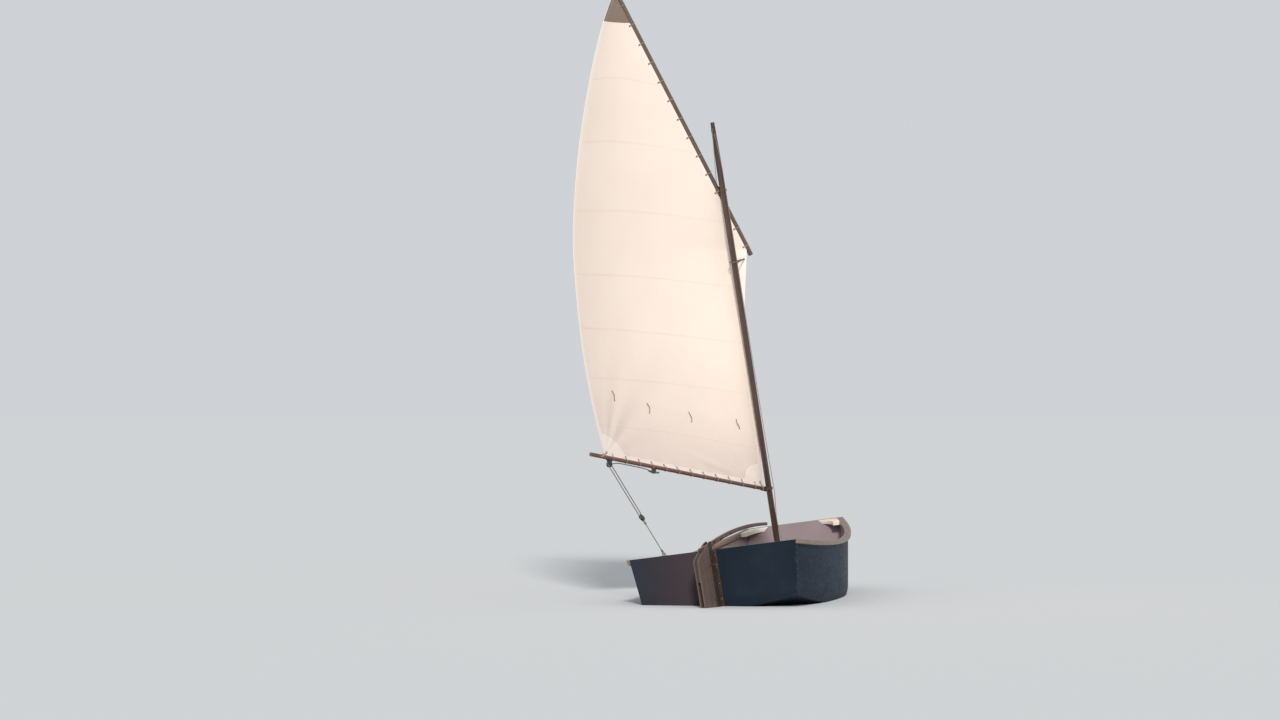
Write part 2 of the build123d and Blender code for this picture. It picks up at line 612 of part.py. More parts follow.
# Rudder blade, hanging down from its pivot, with a thinned trailing edge
blade_pts = [(BLADE_FORE, BLADE_CUT / 2), (BLADE_FORE, BLADE_CUT - BLADE_DEPTH)]
blade_pts += [(BLADE_FORE / 3, -BLADE_DEPTH), (BLADE_CUT - BLADE_AFT, -BLADE_DEPTH)]
blade_pts += [(-BLADE_AFT, BLADE_CUT - BLADE_DEPTH)]
blade_pts += [(-BLADE_AFT, -BLADE_CUT), (-BLADE_AFT * BLADE_SHOULDER, BLADE_CUT * BLADE_SHOULDER)]
blade_pts += [(-BLADE_FORE * BLADE_SHOULDER, BLADE_CUT * BLADE_CROWN), (BLADE_FORE / 2, BLADE_CUT)]
blade = plate_xz([(x + pivot_x, z + PIVOT_Z) for x, z in blade_pts], -BLADE_T / 2, BLADE_T / 2)
blade = fillet(blade.edges().filter_by(Axis.Y), BLADE_ROUND)
edge_x = pivot_x - BLADE_AFT
shave = [(edge_x - BLADE_SHAVE, BLADE_EDGE), (edge_x, BLADE_EDGE), (edge_x + BLADE_SHAVE, BLADE_T / 2)]
shave += [(edge_x + BLADE_SHAVE, BLADE_T), (edge_x - BLADE_SHAVE, BLADE_T)]
shave_edges = [Line((*shave[i], 0), (*shave[(i + 1) % len(shave)], 0)) for i in range(len(shave))]
shave_top = PIVOT_Z - BLADE_CUT * 2
shaver = Pos(0, 0, shave_top - FAR) * extrude(make_face(shave_edges), amount=FAR)
blade = blade - shaver - mirror(shaver, Plane.XZ)
nodes["rudder_blade"] = RUDDER * (blade - pivot_room)

# Yard and boom, round spars along the sail's head and foot


def spar_frame(low_aft, low_up, high_aft, high_up):
    """Length of a spar and its frame: origin at its low end, Z along it."""
    run = high_aft - low_aft
    rise = high_up - low_up
    lean = math.degrees(math.atan2(run, rise))
    return math.hypot(run, rise), RIG * Pos(-low_aft, RIG_OFFSET, low_up) * Rot(0, -lean, 0)


boom_len, BOOM_AT = spar_frame(BOOM["fore_aft"], BOOM["fore_up"], BOOM["end_aft"], BOOM["end_up"])
yard_len, YARD_AT = spar_frame(YARD["heel_aft"], YARD["heel_up"], YARD["peak_aft"], YARD["peak_up"])
nodes["boom"] = BOOM_AT * Pos(0, 0, boom_len / 2) * Cylinder(BOOM_R, boom_len)
yard_straight = yard_len - YARD_TAPER
yard = Pos(0, 0, yard_straight / 2) * Cylinder(YARD_R, yard_straight)
yard = yard + Pos(0, 0, yard_straight + YARD_TAPER / 2) * Cone(YARD_R, YARD_TIP_R, YARD_TAPER)
nodes["yard"] = YARD_AT * yard

# Rings round the mast that carry the boom and the yard on hollowed saddles


def mast_r(up):
    share = max(0.0, (up - (MAST_UP - MAST_TAPER)) / MAST_TAPER)
    return MAST_R + (MAST_TIP_R - MAST_R) * share


def collar(up, spar_r, at, along):
    """A band round the mast with a saddle that fits the near side of the spar."""
    ring_in = mast_r(up) + RING_GAP
    reach = RIG_OFFSET - ring_in
    band = RIG * Pos(0, 0, up) * Cylinder(ring_in + RING_T, RING_H)
    saddle = at * Pos(0, -reach / 2, along) * Box(SADDLE_W, reach, SADDLE_L)
    bore = RIG * Pos(0, 0, up) * Cylinder(ring_in, SADDLE_L * 2)
    spar = at * Pos(0, 0, along) * Cylinder(spar_r, SADDLE_L * 2)
    return (band + saddle) - bore - spar


boom_slope = (BOOM["end_up"] - BOOM["fore_up"]) / (BOOM["end_aft"] - BOOM["fore_aft"])
boom_up = BOOM["fore_up"] - BOOM["fore_aft"] * boom_slope
yard_slope = (YARD["peak_up"] - YARD["heel_up"]) / (YARD["peak_aft"] - YARD["heel_aft"])
yard_up = YARD["heel_up"] - YARD["heel_aft"] * yard_slope
boom_along = math.hypot(BOOM["fore_aft"], boom_up - BOOM["fore_up"])
yard_along = math.hypot(YARD["heel_aft"], yard_up - YARD["heel_up"])
nodes["boom_collar"] = collar(boom_up, BOOM_R, BOOM_AT, boom_along)
nodes["yard_collar"] = collar(yard_up, YARD_R, YARD_AT, yard_along)


# Sail: rows from luff or head edge to leech with a belly to leeward, joined by flat gores
def boom_edge(aft):
    lean = math.hypot(1, boom_slope)
    return BOOM["fore_up"] + (aft - BOOM["fore_aft"]) * boom_slope + (BOOM_R + SAIL_GAP) * lean


def yard_edge(up):
    lean = math.hypot(1, 1 / yard_slope)
    return YARD["heel_aft"] + (up - YARD["heel_up"]) / yard_slope + (YARD_R + SAIL_GAP) * lean


sail_rows = [(TACK_AFT, boom_edge(TACK_AFT), CLEW_AFT, boom_edge(CLEW_AFT), SAIL_FOOT_BELLY)]
sail_rows += list(zip(*SAIL_LOW.values()))
for up, leech_aft, leech_up, belly in zip(*SAIL_HEAD.values()):
    sail_rows.append((yard_edge(up), up, leech_aft, leech_up, belly))


def sail_row(row, side):
    """Points across the sail at one row, on its near or far face."""
    luff_a, luff_u, leech_a, leech_u, belly = row
    points = []
    for i in range(SAIL_STRIPS + 1):
        t = i / SAIL_STRIPS
        stand_off = RIG_OFFSET + side * SAIL_T / 2 + 4 * belly * t * (1 - t)
        points.append((-luff_a - (leech_a - luff_a) * t, stand_off, luff_u + (leech_u - luff_u) * t))
    return points


def gore(*corners):
    return Face(Wire.make_polygon([Vector(*c) for c in corners], close=True))


near = [sail_row(row, -1) for row in sail_rows]
far = [sail_row(row, 1) for row in sail_rows]
gores = []
for grid in (near, far):
    for low, high in zip(grid, grid[1:]):
        for i in range(SAIL_STRIPS):
            gores.append(gore(low[i], low[i + 1], high[i + 1]))
            gores.append(gore(low[i], high[i + 1], high[i]))
rims = [(near[0], far[0]), (near[-1], far[-1])]
rims += [([row[end] for row in near], [row[end] for row in far]) for end in (0, -1)]
for a, b in rims:
    for i in range(len(a) - 1):
        gores.append(gore(a[i], a[i + 1], b[i + 1], b[i]))
nodes["sail"] = RIG * Solid(Shell(gores))


# Blocks and cleats, standing out along -X from a spar along Z
def sheave_block(spar_r, out_r, cheek, width, drop, plate_l):
    """Two round-footed cheeks on a wheel, hung from a plate hollowed to fit the spar."""
    wheel_x = -spar_r - drop
    half = width / 2 + cheek
    waist = out_r * CHEEK_WAIST
    spar_x = PLATE_WRAP - spar_r
    body = Pos(wheel_x, 0, 0) * Rot(90, 0, 0) * Cylinder(out_r, half * 2)
    body = body + block(wheel_x, spar_x, -half, half, -waist, waist)
    body = body - block(wheel_x - out_r - PAST, wheel_x + out_r + WEB_GAP, -width / 2, width / 2, -FAR, FAR)
    body = body + Pos(wheel_x, 0, 0) * Rot(90, 0, 0) * Cylinder(out_r * WHEEL_SHARE, width)
    body = body + block(-spar_r - PLATE_T, spar_x, -half, half, -plate_l / 2, plate_l / 2)
    return body - Cylinder(spar_r, plate_l * 2)


def horn_cleat(spar_r, length, height, thick):
    """A two-horned cleat with an arched back, hollowed underneath to fit its spar."""
    base = HORN_SINK - spar_r
    half = length / 2
    out = base - height
    edges = []
    for side in (1, -1):
        foot = (base, -thick / 2, half * HORN_ALONG["foot"] * side)
        neck = (out + height * HORN_DOWN["neck"], -thick / 2, half * HORN_ALONG["neck"] * side)
        throat = (out + height * HORN_DOWN["throat"], -thick / 2, half * HORN_ALONG["throat"] * side)
        tip_in = (out + height * HORN_DOWN["tip_in"], -thick / 2, half * side)
        tip_out = (out + height * HORN_DOWN["tip_out"], -thick / 2, half * side)
        edges += [Line(foot, neck), ThreePointArc(neck, throat, tip_in), Line(tip_in, tip_out)]
    foot_half = half * HORN_ALONG["foot"]
    tip_x = out + height * HORN_DOWN["tip_out"]
    edges.append(Line((base, -thick / 2, foot_half), (base, -thick / 2, -foot_half)))
    edges.append(
        ThreePointArc((tip_x, -thick / 2, half), (out, -thick / 2, 0), (tip_x, -thick / 2, -half))
    )
    return extrude(make_face(edges), amount=thick, dir=(0, 1, 0)) - Cylinder(spar_r, length * 2)


def boom_place(aft):
    """Frame on the boom's axis at a distance aft of the mast."""
    along = (aft - BOOM["fore_aft"]) * math.hypot(1, boom_slope)
    return BOOM_AT * Pos(0, 0, along)


nodes["boom_block"] = boom_place(BLOCK_AFT) * sheave_block(BOOM_R, **BOOM_SHEAVE)
nodes["boom_cleat"] = boom_place(CLEAT_AFT) * horn_cleat(BOOM_R, **BOOM_HORN)
nodes["mast_cleat"] = MAST * Pos(0, 0, MAST_CLEAT_UP) * Rot(0, 0, 180) * horn_cleat(MAST_R, **MAST_HORN)
head_up = MAST_UP - HEAD_BLOCK_DOWN
head_seat = mast_r(head_up - HEAD_SHEAVE["plate_l"] / 2) + SEAT_REST
nodes["masthead_block"] = MAST * Pos(0, 0, head_up) * sheave_block(head_seat, **HEAD_SHEAVE)


# Eyes on plates: one on top of the transom for the mainsheet, one on the bow for the painter
def pad_eye(foot_w):
    """A round-topped plate with a hole on a foot, standing along Z with its hole along X."""
    foot = Pos(0, 0, EYE_FOOT_T / 2) * Box(foot_w, EYE_FOOT_L, EYE_FOOT_T)
    stem = Pos(0, 0, EYE_OUT / 2) * Box(EYE_W, EYE_OUT * 2, EYE_OUT)
    eye = Pos(0, 0, EYE_OUT) * Rot(0, 90, 0) * Cylinder(EYE_OUT, EYE_W)
    hole = Pos(0, 0, EYE_OUT) * Rot(0, 90, 0) * Cylinder(EYE_IN, EYE_W * 2)
    return foot + (stem + eye - hole)


eye_x = STERN_X + TRANSOM_T * EYE_SHARE
above_sheer = extrude(profile_face(sheer_z, 0.0, FAR), amount=FAR, dir=(0, 1, 0), both=True)
sheet_at = Pos(eye_x, SHEET_EYE_Y, sheer_z(eye_x) + SEAT_REST)
nodes["sheet_eye"] = sheet_at * pad_eye(EYE_FOOT_W["sheet"]) & above_sheer
painter_at = BOW * Pos(0, 0, -PAINTER_DOWN) * Rot(0, 90, 0) * Rot(0, 0, 90)
nodes["painter_eye"] = painter_at * pad_eye(EYE_FOOT_W["painter"])

for name, shape in nodes.items():
    if not shape.solids():
        print("empty", name)
    export_step(shape, f"parts/{name}.step")
    bb = shape.bounding_box()
    print(f"{name:24s} {len(shape.solids())} solids  {shape.volume / 1e6:9.3f} l")
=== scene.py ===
import math
import random

import bpy
from mathutils import Matrix, Vector
from mathutils.bvhtree import BVHTree


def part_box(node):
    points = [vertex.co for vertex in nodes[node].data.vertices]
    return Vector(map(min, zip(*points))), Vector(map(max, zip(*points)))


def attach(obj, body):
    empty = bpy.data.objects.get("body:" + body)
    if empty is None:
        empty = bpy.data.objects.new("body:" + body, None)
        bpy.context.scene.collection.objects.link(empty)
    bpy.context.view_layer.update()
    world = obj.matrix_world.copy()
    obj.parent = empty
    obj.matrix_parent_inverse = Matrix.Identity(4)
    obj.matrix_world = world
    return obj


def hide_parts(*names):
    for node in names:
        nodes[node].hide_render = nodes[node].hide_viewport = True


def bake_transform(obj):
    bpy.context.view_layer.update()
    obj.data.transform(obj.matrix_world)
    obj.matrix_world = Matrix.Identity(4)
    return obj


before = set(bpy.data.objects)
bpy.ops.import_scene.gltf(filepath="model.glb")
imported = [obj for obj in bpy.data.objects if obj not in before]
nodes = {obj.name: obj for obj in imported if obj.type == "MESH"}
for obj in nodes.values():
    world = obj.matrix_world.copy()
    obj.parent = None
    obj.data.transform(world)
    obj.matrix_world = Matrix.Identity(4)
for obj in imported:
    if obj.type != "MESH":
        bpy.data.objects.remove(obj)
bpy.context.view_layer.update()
scene = bpy.context.scene
SEED = 7
random.seed(SEED)

# The photograph: the boat seen from astern, heeled to port
PHOTO_W = 1280.0
PHOTO_H = 720.0
ORIGIN_PX = (762.84, 595.90)
CAMERA_DISTANCE = 30.0
CAMERA_TURN = 12.0
CAMERA_RISE = 3.0
CAMERA_LENS = 114.98
SENSOR = 36.0
HEEL = 7.6

# Rig, as in the part's source: mast foot at the gunwale, rake, and the plane of sail and spars
MAST_FOOT = Vector((0.75, 0.0, 0.42))
MAST_RAKE = 6.5
MAST_UP = 3.132
MAST_R = 0.022
MAST_TIP_R = 0.015
MAST_TAPER = 0.320
BOOM_ANGLE = 26.0
RIG_OFFSET = 0.046
BOOM_R = 0.0145
BOOM_FORE = (-0.065, 0.338)
BOOM_END = (1.917, 0.957)
YARD_R = 0.0185
YARD_TIP_R = 0.014
YARD_TAPER = 0.160
YARD_HEEL = (-0.275, 2.102)
YARD_PEAK = (0.856, 4.231)
BLOCK_AFT = 1.718
CLEAT_AFT = 1.240

# Sail: luff and leech (aft of the mast, up from the gunwale) and belly, foot first
SAIL_LUFF_LOW = [(0.013, 0.378), (-0.032, 0.800), (-0.052, 1.250), (-0.086, 1.652)]
SAIL_HEAD_UP = [2.140, 2.760, 3.350, 3.850, 4.140]
SAIL_LEECH = [
    (1.769, 0.926), (1.812, 1.270), (1.828, 1.660), (1.803, 2.054), (1.735, 2.500),
    (1.560, 3.020), (1.330, 3.500), (1.085, 3.905), (0.880, 4.165),
]
SAIL_BELLY = [0.012, 0.110, 0.150, 0.160, 0.150, 0.110, 0.066, 0.025, 0.002]
CLOTH_T = 0.0012
SAIL_SLOT = 0.0003

mast_frame = Matrix.Translation(MAST_FOOT) @ Matrix.Rotation(math.radians(-MAST_RAKE), 4, "Y")
rig_frame = mast_frame @ Matrix.Rotation(math.radians(-BOOM_ANGLE), 4, "Z")


def at(place, x, y, z):
    """A point given in a frame."""
    return place @ Vector((x, y, z))


def turned(place, x, y, z):
    """A direction given in a frame."""
    return (place.to_3x3() @ Vector((x, y, z))).normalized()


def spar_frame(low, high):
    """Frame with its origin at a spar's low end and Z along it."""
    place = rig_frame @ Matrix.Translation((-low[0], RIG_OFFSET, low[1]))
    return place @ Matrix.Rotation(-math.atan2(high[0] - low[0], high[1] - low[1]), 4, "Y")


boom_frame = spar_frame(BOOM_FORE, BOOM_END)
yard_frame = spar_frame(YARD_HEEL, YARD_PEAK)
yard_len = math.dist(YARD_HEEL, YARD_PEAK)
boom_slope = (BOOM_END[1] - BOOM_FORE[1]) / (BOOM_END[0] - BOOM_FORE[0])
yard_slope = (YARD_PEAK[1] - YARD_HEEL[1]) / (YARD_PEAK[0] - YARD_HEEL[0])


def boom_along(aft):
    return (aft - BOOM_FORE[0]) * math.hypot(1, boom_slope)


def mast_r(up):
    share = max(0.0, (up - (MAST_UP - MAST_TAPER)) / MAST_TAPER)
    return MAST_R + (MAST_TIP_R - MAST_R) * share


# Materials, all from nodes
def new_material(name):
    mat = bpy.data.materials.new(name)
    mat.use_nodes = True
    tree = mat.node_tree
    return mat, tree, tree.nodes["Principled BSDF"]


def link(tree, a, b):
    tree.links.new(a, b)


def node(tree, kind, **values):
    """A node with its inputs and settings given by name."""
    n = tree.nodes.new(kind)
    for key, value in values.items():
        if key in n.inputs:
            n.inputs[key].default_value = value
        else:
            setattr(n, key, value)
    return n


def feed(tree, socket, value):
    """Links a socket to an input, or sets the input to a plain number or tuple."""
    if isinstance(value, (float, tuple)):
        socket.default_value = value
    else:
        link(tree, value, socket)


def object_coords(tree, turn=None, scale=(1.0, 1.0, 1.0)):
    """Object coordinates, turned so that Z runs along the grain, and scaled."""
    place = node(tree, "ShaderNodeTexCoord").outputs["Object"]
    if turn is not None:
        turning = node(tree, "ShaderNodeMapping", Rotation=turn.to_3x3().inverted().to_euler())
        link(tree, place, turning.inputs["Vector"])
        place = turning.outputs["Vector"]
    scaling = node(tree, "ShaderNodeMapping", Scale=scale)
    link(tree, place, scaling.inputs["Vector"])
    return scaling.outputs["Vector"]


def noise(tree, vector, scale, detail=4.0, rough=0.55, distort=0.0):
    n = node(tree, "ShaderNodeTexNoise", Scale=scale, Detail=detail, Roughness=rough, Distortion=distort)
    link(tree, vector, n.inputs["Vector"])
    return n.outputs["Fac"]


def wave(tree, vector, scale, direction, distort=0.0, profile="SIN"):
    n = node(tree, "ShaderNodeTexWave", bands_direction=direction, wave_profile=profile, Scale=scale,
             Distortion=distort)
    link(tree, vector, n.inputs["Vector"])
    return n


def ramp(tree, fac, stops):
    """Colour ramp from pairs of a place and a colour or a grey level."""
    n = node(tree, "ShaderNodeValToRGB")
    link(tree, fac, n.inputs["Fac"])
    for i, (place, colour) in enumerate(stops):
        stop = n.color_ramp.elements[i] if i < 2 else n.color_ramp.elements.new(place)
        stop.position = place
        stop.color = (*colour, 1.0) if isinstance(colour, tuple) else (colour, colour, colour, 1.0)
    return n.outputs["Color"]


def spread(tree, fac, low, high, out_low, out_high):
    ends = {"From Min": low, "From Max": high, "To Min": out_low, "To Max": out_high}
    n = node(tree, "ShaderNodeMapRange", **ends)
    link(tree, fac, n.inputs["Value"])
    return n.outputs["Result"]


def mix(tree, fac, a, b, blend="MIX"):
    """Mixes two colours, each a socket or a plain colour."""
    n = node(tree, "ShaderNodeMix", data_type="RGBA", blend_type=blend)
    feed(tree, n.inputs[0], fac)
    for socket, value in ((n.inputs[6], a), (n.inputs[7], b)):
        feed(tree, socket, (*value, 1.0) if isinstance(value, tuple) else value)
    return n.outputs[2]


def times(tree, a, b):
    n = node(tree, "ShaderNodeMath", operation="MULTIPLY")
    feed(tree, n.inputs[0], a)
    feed(tree, n.inputs[1], b)
    return n.outputs[0]


def dot(tree, a, b):
    n = node(tree, "ShaderNodeVectorMath", operation="DOT_PRODUCT")
    feed(tree, n.inputs[0], a)
    feed(tree, n.inputs[1], b)
    return n.outputs["Value"]


def axis_of(tree, vector, axis):
    n = node(tree, "ShaderNodeSeparateXYZ")
    link(tree, vector, n.inputs[0])
    return n.outputs[axis]


def bump(tree, shader, height, distance, strength=1.0, under=None):
    n = node(tree, "ShaderNodeBump", Strength=strength, Distance=distance)
    link(tree, height, n.inputs["Height"])
    if under is not None:
        link(tree, under, n.inputs["Normal"])
    link(tree, n.outputs["Normal"], shader.inputs["Normal"])
    return n.outputs["Normal"]


def edge_mask(tree, radius):
    """1 along sharp edges, 0 on flats."""
    rounded = node(tree, "ShaderNodeBevel", samples=4, Radius=radius)
    flat = node(tree, "ShaderNodeNewGeometry")
    likeness = dot(tree, rounded.outputs["Normal"], flat.outputs["Normal"])
    return spread(tree, likeness, 0.985, 0.86, 0.0, 1.0)


def surface(tree, shader, colour, grain, smooth, rough):
    """Base colour, and a roughness that follows a grain."""
    link(tree, colour, shader.inputs["Base Color"])
    link(tree, spread(tree, grain, 0.3, 0.7, smooth, rough), shader.inputs["Roughness"])


# Share of a texture's scale that is kept along the grain
LONG_STREAK = 0.045
LONG_FIGURE = 0.10
LONG_RING = 0.06
LONG_PORE = 0.02


def wood(name, kind, turn, band=None):
    """Varnished wood with streaks, growth rings and pores along the Z axis of a frame."""
    pale, mid, dark, worn, gloss, coat, rings = WOODS[kind]
    mat, tree, shader = new_material(name)

    def grain(share):
        return object_coords(tree, turn, (1.0, 1.0, share))

    streak = noise(tree, grain(LONG_STREAK), 95.0, 8.0, 0.62, 0.6)
    ring_bands = wave(tree, grain(LONG_RING), rings, "X", 5.0, "SAW")
    ring_bands.inputs["Detail"].default_value = 3.0
    ring_bands.inputs["Detail Scale"].default_value = 1.4
    ringed = ramp(tree, ring_bands.outputs["Fac"], [(0.0, (0.72, 0.68, 0.64)), (0.75, 1.0)])
    base = ramp(tree, streak, [(0.28, dark), (0.50, mid), (0.74, pale)])
    colour = mix(tree, 0.55, base, ringed, "MULTIPLY")
    patch = noise(tree, object_coords(tree), 3.2, 3.0)
    colour = mix(tree, spread(tree, patch, 0.4, 0.75, 0.0, 0.35), colour, dark)
    if band is not None:
        direction, start, edge_colour = band
        ahead = dot(tree, object_coords(tree), direction)
        colour = mix(tree, spread(tree, ahead, start, start + 0.002, 0.0, 0.85), colour, edge_colour)
    if worn is not None:
        figure = noise(tree, grain(LONG_FIGURE), rings, 3.0, 0.5, 1.2)
        chip = times(tree, edge_mask(tree, 0.003), spread(tree, figure, 0.45, 0.6, 0.0, 0.8))
        colour = mix(tree, chip, colour, worn)
    pores = noise(tree, grain(LONG_PORE), 520.0, 2.0)
    surface(tree, shader, colour, pores, gloss - 0.07, gloss + 0.13)
    fine = bump(tree, shader, pores, 0.0003, 0.35)
    bump(tree, shader, ring_bands.outputs["Fac"], 0.0004, 0.25, fine)
    shader.inputs["Coat Weight"].default_value = coat
    shader.inputs["Coat Roughness"].default_value = 0.22
    return mat


def paint(name, colour, chip_colour, gloss=0.42, outside=None, inner=None, painted_reflection=None):
    """Brushed satin paint. With an outward direction, faces turned away from it take the inner colour, and
    the outside can carry a painted reflection.
    """
    mat, tree, shader = new_material(name)
    coords = object_coords(tree)
    cloud = noise(tree, coords, 2.3, 5.0, 0.6)
    mottle = noise(tree, coords, 38.0, 4.0, 0.6)
    brush = noise(tree, object_coords(tree, None, (0.05, 1.0, 1.0)), 420.0, 2.0)
    pale = tuple(min(1.0, c * 1.28 + 0.004) for c in colour)
    deep = tuple(c * 0.80 for c in colour)
    skin = ramp(tree, cloud, [(0.32, deep), (0.52, colour), (0.72, pale)])
    if outside is not None:
        stain = times(tree, spread(tree, axis_of(tree, coords, "Z"), -0.05, 0.07, 1.0, 0.0), mottle)
        skin = mix(tree, times(tree, stain, 0.9), skin, tuple(c * 0.45 for c in colour))
        if painted_reflection is not None:
            # Painted reflection: a warm glow painted across the port half of the outside, strongest just port
            # of the middle, standing for light thrown back from the sail
            across = spread(tree, axis_of(tree, coords, "Y"), -0.7, 0.7, 0.0, 1.0)
            share = ramp(tree, across, [(0.50, 0.0), (0.60, 1.0), (0.78, 0.55), (0.93, 0.2)])
            skin = mix(tree, share, skin, painted_reflection)
        facing = node(tree, "ShaderNodeTexCoord").outputs["Normal"]
        in_pale = tuple(min(1.0, c * 1.05) for c in inner)
        in_deep = tuple(c * 0.86 for c in inner)
        inside_skin = ramp(tree, cloud, [(0.3, in_deep), (0.52, inner), (0.75, in_pale)])
        skin = mix(tree, spread(tree, dot(tree, facing, outside), -0.45, -0.40, 0.0, 1.0), inside_skin, skin)
        if outside[2] == 0.0:
            layers = wave(tree, coords, 260.0, "Y").outputs["Fac"]
            edge = ramp(tree, layers, [(0.3, (0.26, 0.18, 0.13)), (0.7, (0.40, 0.31, 0.24))])
            skin = mix(tree, spread(tree, axis_of(tree, facing, "Z"), 0.80, 0.86, 0.0, 1.0), skin, edge)
    chip = times(tree, edge_mask(tree, 0.0025), spread(tree, mottle, 0.50, 0.60, 0.0, 0.75))
    surface(tree, shader, mix(tree, chip, skin, chip_colour), mottle, gloss - 0.06, gloss + 0.12)
    shader.inputs["Specular IOR Level"].default_value = 0.04
    fine = bump(tree, shader, brush, 0.00018, 0.4)
    bump(tree, shader, mottle, 0.0004, 0.12, fine)
    return mat


def grainy(name, grain, stops, smooth, rough, fine, metallic=0.0):
    """Metal or plastic: one noise for colour and roughness, and a fine one for its relief."""
    mat, tree, shader = new_material(name)
    coords = object_coords(tree)
    cloud = noise(tree, coords, *grain)
    surface(tree, shader, ramp(tree, cloud, stops), cloud, smooth, rough)
    shader.inputs["Metallic"].default_value = metallic
    bump(tree, shader, noise(tree, coords, fine, 2.0), 0.0001, 0.4)
    return mat


def metal(name, colour, tarnish, rough=0.38):
    stops = [(0.35, tarnish), (0.62, colour)]
    return grainy(name, (130.0, 5.0, 0.65), stops, rough + 0.2, rough - 0.08, 900.0, 0.9)


def moulded(name, colour, rough):
    """Moulded plastic with dull scuffs."""
    stops = [(0.45, colour), (0.80, tuple(min(1.0, c * 2.2 + 0.02) for c in colour))]
    return grainy(name, (45.0, 4.0), stops, rough - 0.05, rough + 0.15, 1400.0)


def leather(name, colour, deep):
    mat, tree, shader = new_material(name)
    coords = object_coords(tree)
    cell = node(tree, "ShaderNodeTexVoronoi", Scale=620.0)
    link(tree, coords, cell.inputs["Vector"])
    cloud = noise(tree, coords, 60.0, 4.0)
    surface(tree, shader, ramp(tree, cloud, [(0.35, deep), (0.65, colour)]), cloud, 0.55, 0.75)
    bump(tree, shader, cell.outputs["Distance"], 0.0004, 0.5)
    return mat


def cordage(name, colour, deep):
    """Laid rope's fibres: fine streaks and slight soiling."""
    mat, tree, shader = new_material(name)
    coords = object_coords(tree)
    fibre = noise(tree, coords, 1500.0, 3.0, 0.7)
    soil = noise(tree, coords, 11.0, 4.0)
    base = ramp(tree, fibre, [(0.3, deep), (0.7, colour)])
    base = mix(tree, spread(tree, soil, 0.45, 0.75, 0.0, 0.5), base, deep)
    surface(tree, shader, base, fibre, 0.75, 0.95)
    shader.inputs["Sheen Weight"].default_value = 0.15
    bump(tree, shader, fibre, 0.0004, 0.6)
    return mat


THREADS = 1100.0


def sailcloth(name, colour, deep, foot):
    """Woven cloth: crossed threads in the sail's own plane, soft clouding, and painted shade that greys it
    towards the boom.
    """
    mat, tree, shader = new_material(name)
    coords = object_coords(tree, rig_frame)
    weave = node(tree, "ShaderNodeMath", operation="MAXIMUM")
    for i, direction in enumerate(("X", "Z")):
        link(tree, wave(tree, coords, THREADS, direction, 0.6).outputs["Fac"], weave.inputs[i])
    cloud = noise(tree, coords, 1.7, 5.0, 0.55)
    crease = noise(tree, coords, 14.0, 6.0, 0.6, 0.8)
    base = ramp(tree, cloud, [(0.25, deep), (0.60, colour)])
    base = mix(tree, spread(tree, crease, 0.55, 0.80, 0.0, 0.16), base, deep)
    # Painted shade: the foot colour is blended in towards the boom, standing for the shade where the loose
    # foot turns away from the light
    height = dot(tree, object_coords(tree), boom_up_dir)
    above = spread(tree, height, boom_height, boom_height + 1.0, 0.0, 1.0)
    painted_foot_shade = ramp(tree, above, [(0.05, 0.75), (0.22, 0.65), (0.50, 0.22), (1.0, 0.0)])
    surface(tree, shader, mix(tree, painted_foot_shade, base, foot), crease, 0.62, 0.80)
    shader.inputs["Sheen Weight"].default_value = 0.08
    shader.inputs["Specular IOR Level"].default_value = 0.3
    fine = bump(tree, shader, weave.outputs[0], 0.00012, 0.35)
    bump(tree, shader, crease, 0.0022, 0.30, fine)
    return mat


# Frames whose Z axis runs along the grain
fore_aft = Matrix.Rotation(math.radians(90), 4, "Y")
athwart = Matrix.Rotation(math.radians(-90), 4, "X")
upright = Matrix.Identity(4)

# Woods: pale, middle, dark and worn colour, roughness, coat and growth rings a metre
WOODS = {
    "mast": ((0.105, 0.060, 0.042), (0.070, 0.038, 0.027), (0.034, 0.019, 0.014), (0.18, 0.12, 0.09),
             0.30, 0.4, 26.0),
    "yard": ((0.23, 0.160, 0.112), (0.160, 0.105, 0.074), (0.082, 0.052, 0.037), (0.30, 0.24, 0.18),
             0.34, 0.3, 26.0),
    "boom": ((0.25, 0.125, 0.088), (0.180, 0.084, 0.060), (0.090, 0.042, 0.031), (0.32, 0.21, 0.16),
             0.32, 0.35, 26.0),
    "tiller": ((0.115, 0.056, 0.046), (0.080, 0.037, 0.030), (0.042, 0.019, 0.016), None, 0.30, 0.4, 26.0),
    "trim": ((0.34, 0.25, 0.20), (0.26, 0.185, 0.145), (0.16, 0.105, 0.078), (0.42, 0.35, 0.31),
             0.42, 0.15, 26.0),
    "seat": ((0.46, 0.32, 0.20), (0.37, 0.24, 0.14), (0.24, 0.14, 0.075), None, 0.38, 0.25, 26.0),
    "dark": ((0.075, 0.045, 0.030), (0.050, 0.030, 0.021), (0.026, 0.016, 0.012), (0.14, 0.10, 0.075),
             0.36, 0.3, 26.0),
    "rudder": ((0.185, 0.130, 0.108), (0.140, 0.096, 0.083), (0.088, 0.058, 0.050), (0.26, 0.21, 0.17),
               0.45, 0.05, 14.0),
}
HULL = (0.016, 0.025, 0.037)
# The side panels carry the hull paint tinted bluer: a painted reflection of the sky, not a different paint
HULL_SIDE_PAINTED_SKY = (0.015, 0.028, 0.050)
HULL_PAINTED_REFLECTION = (0.066, 0.050, 0.055)
BARE = (0.15, 0.12, 0.10)
INSIDE = (0.285, 0.230, 0.240)
# Knees: pale paint, made as bright as the sunlit bow corner, so partly a painted highlight
KNEES_PALE_AS_SUNLIT = (0.93, 0.80, 0.70)
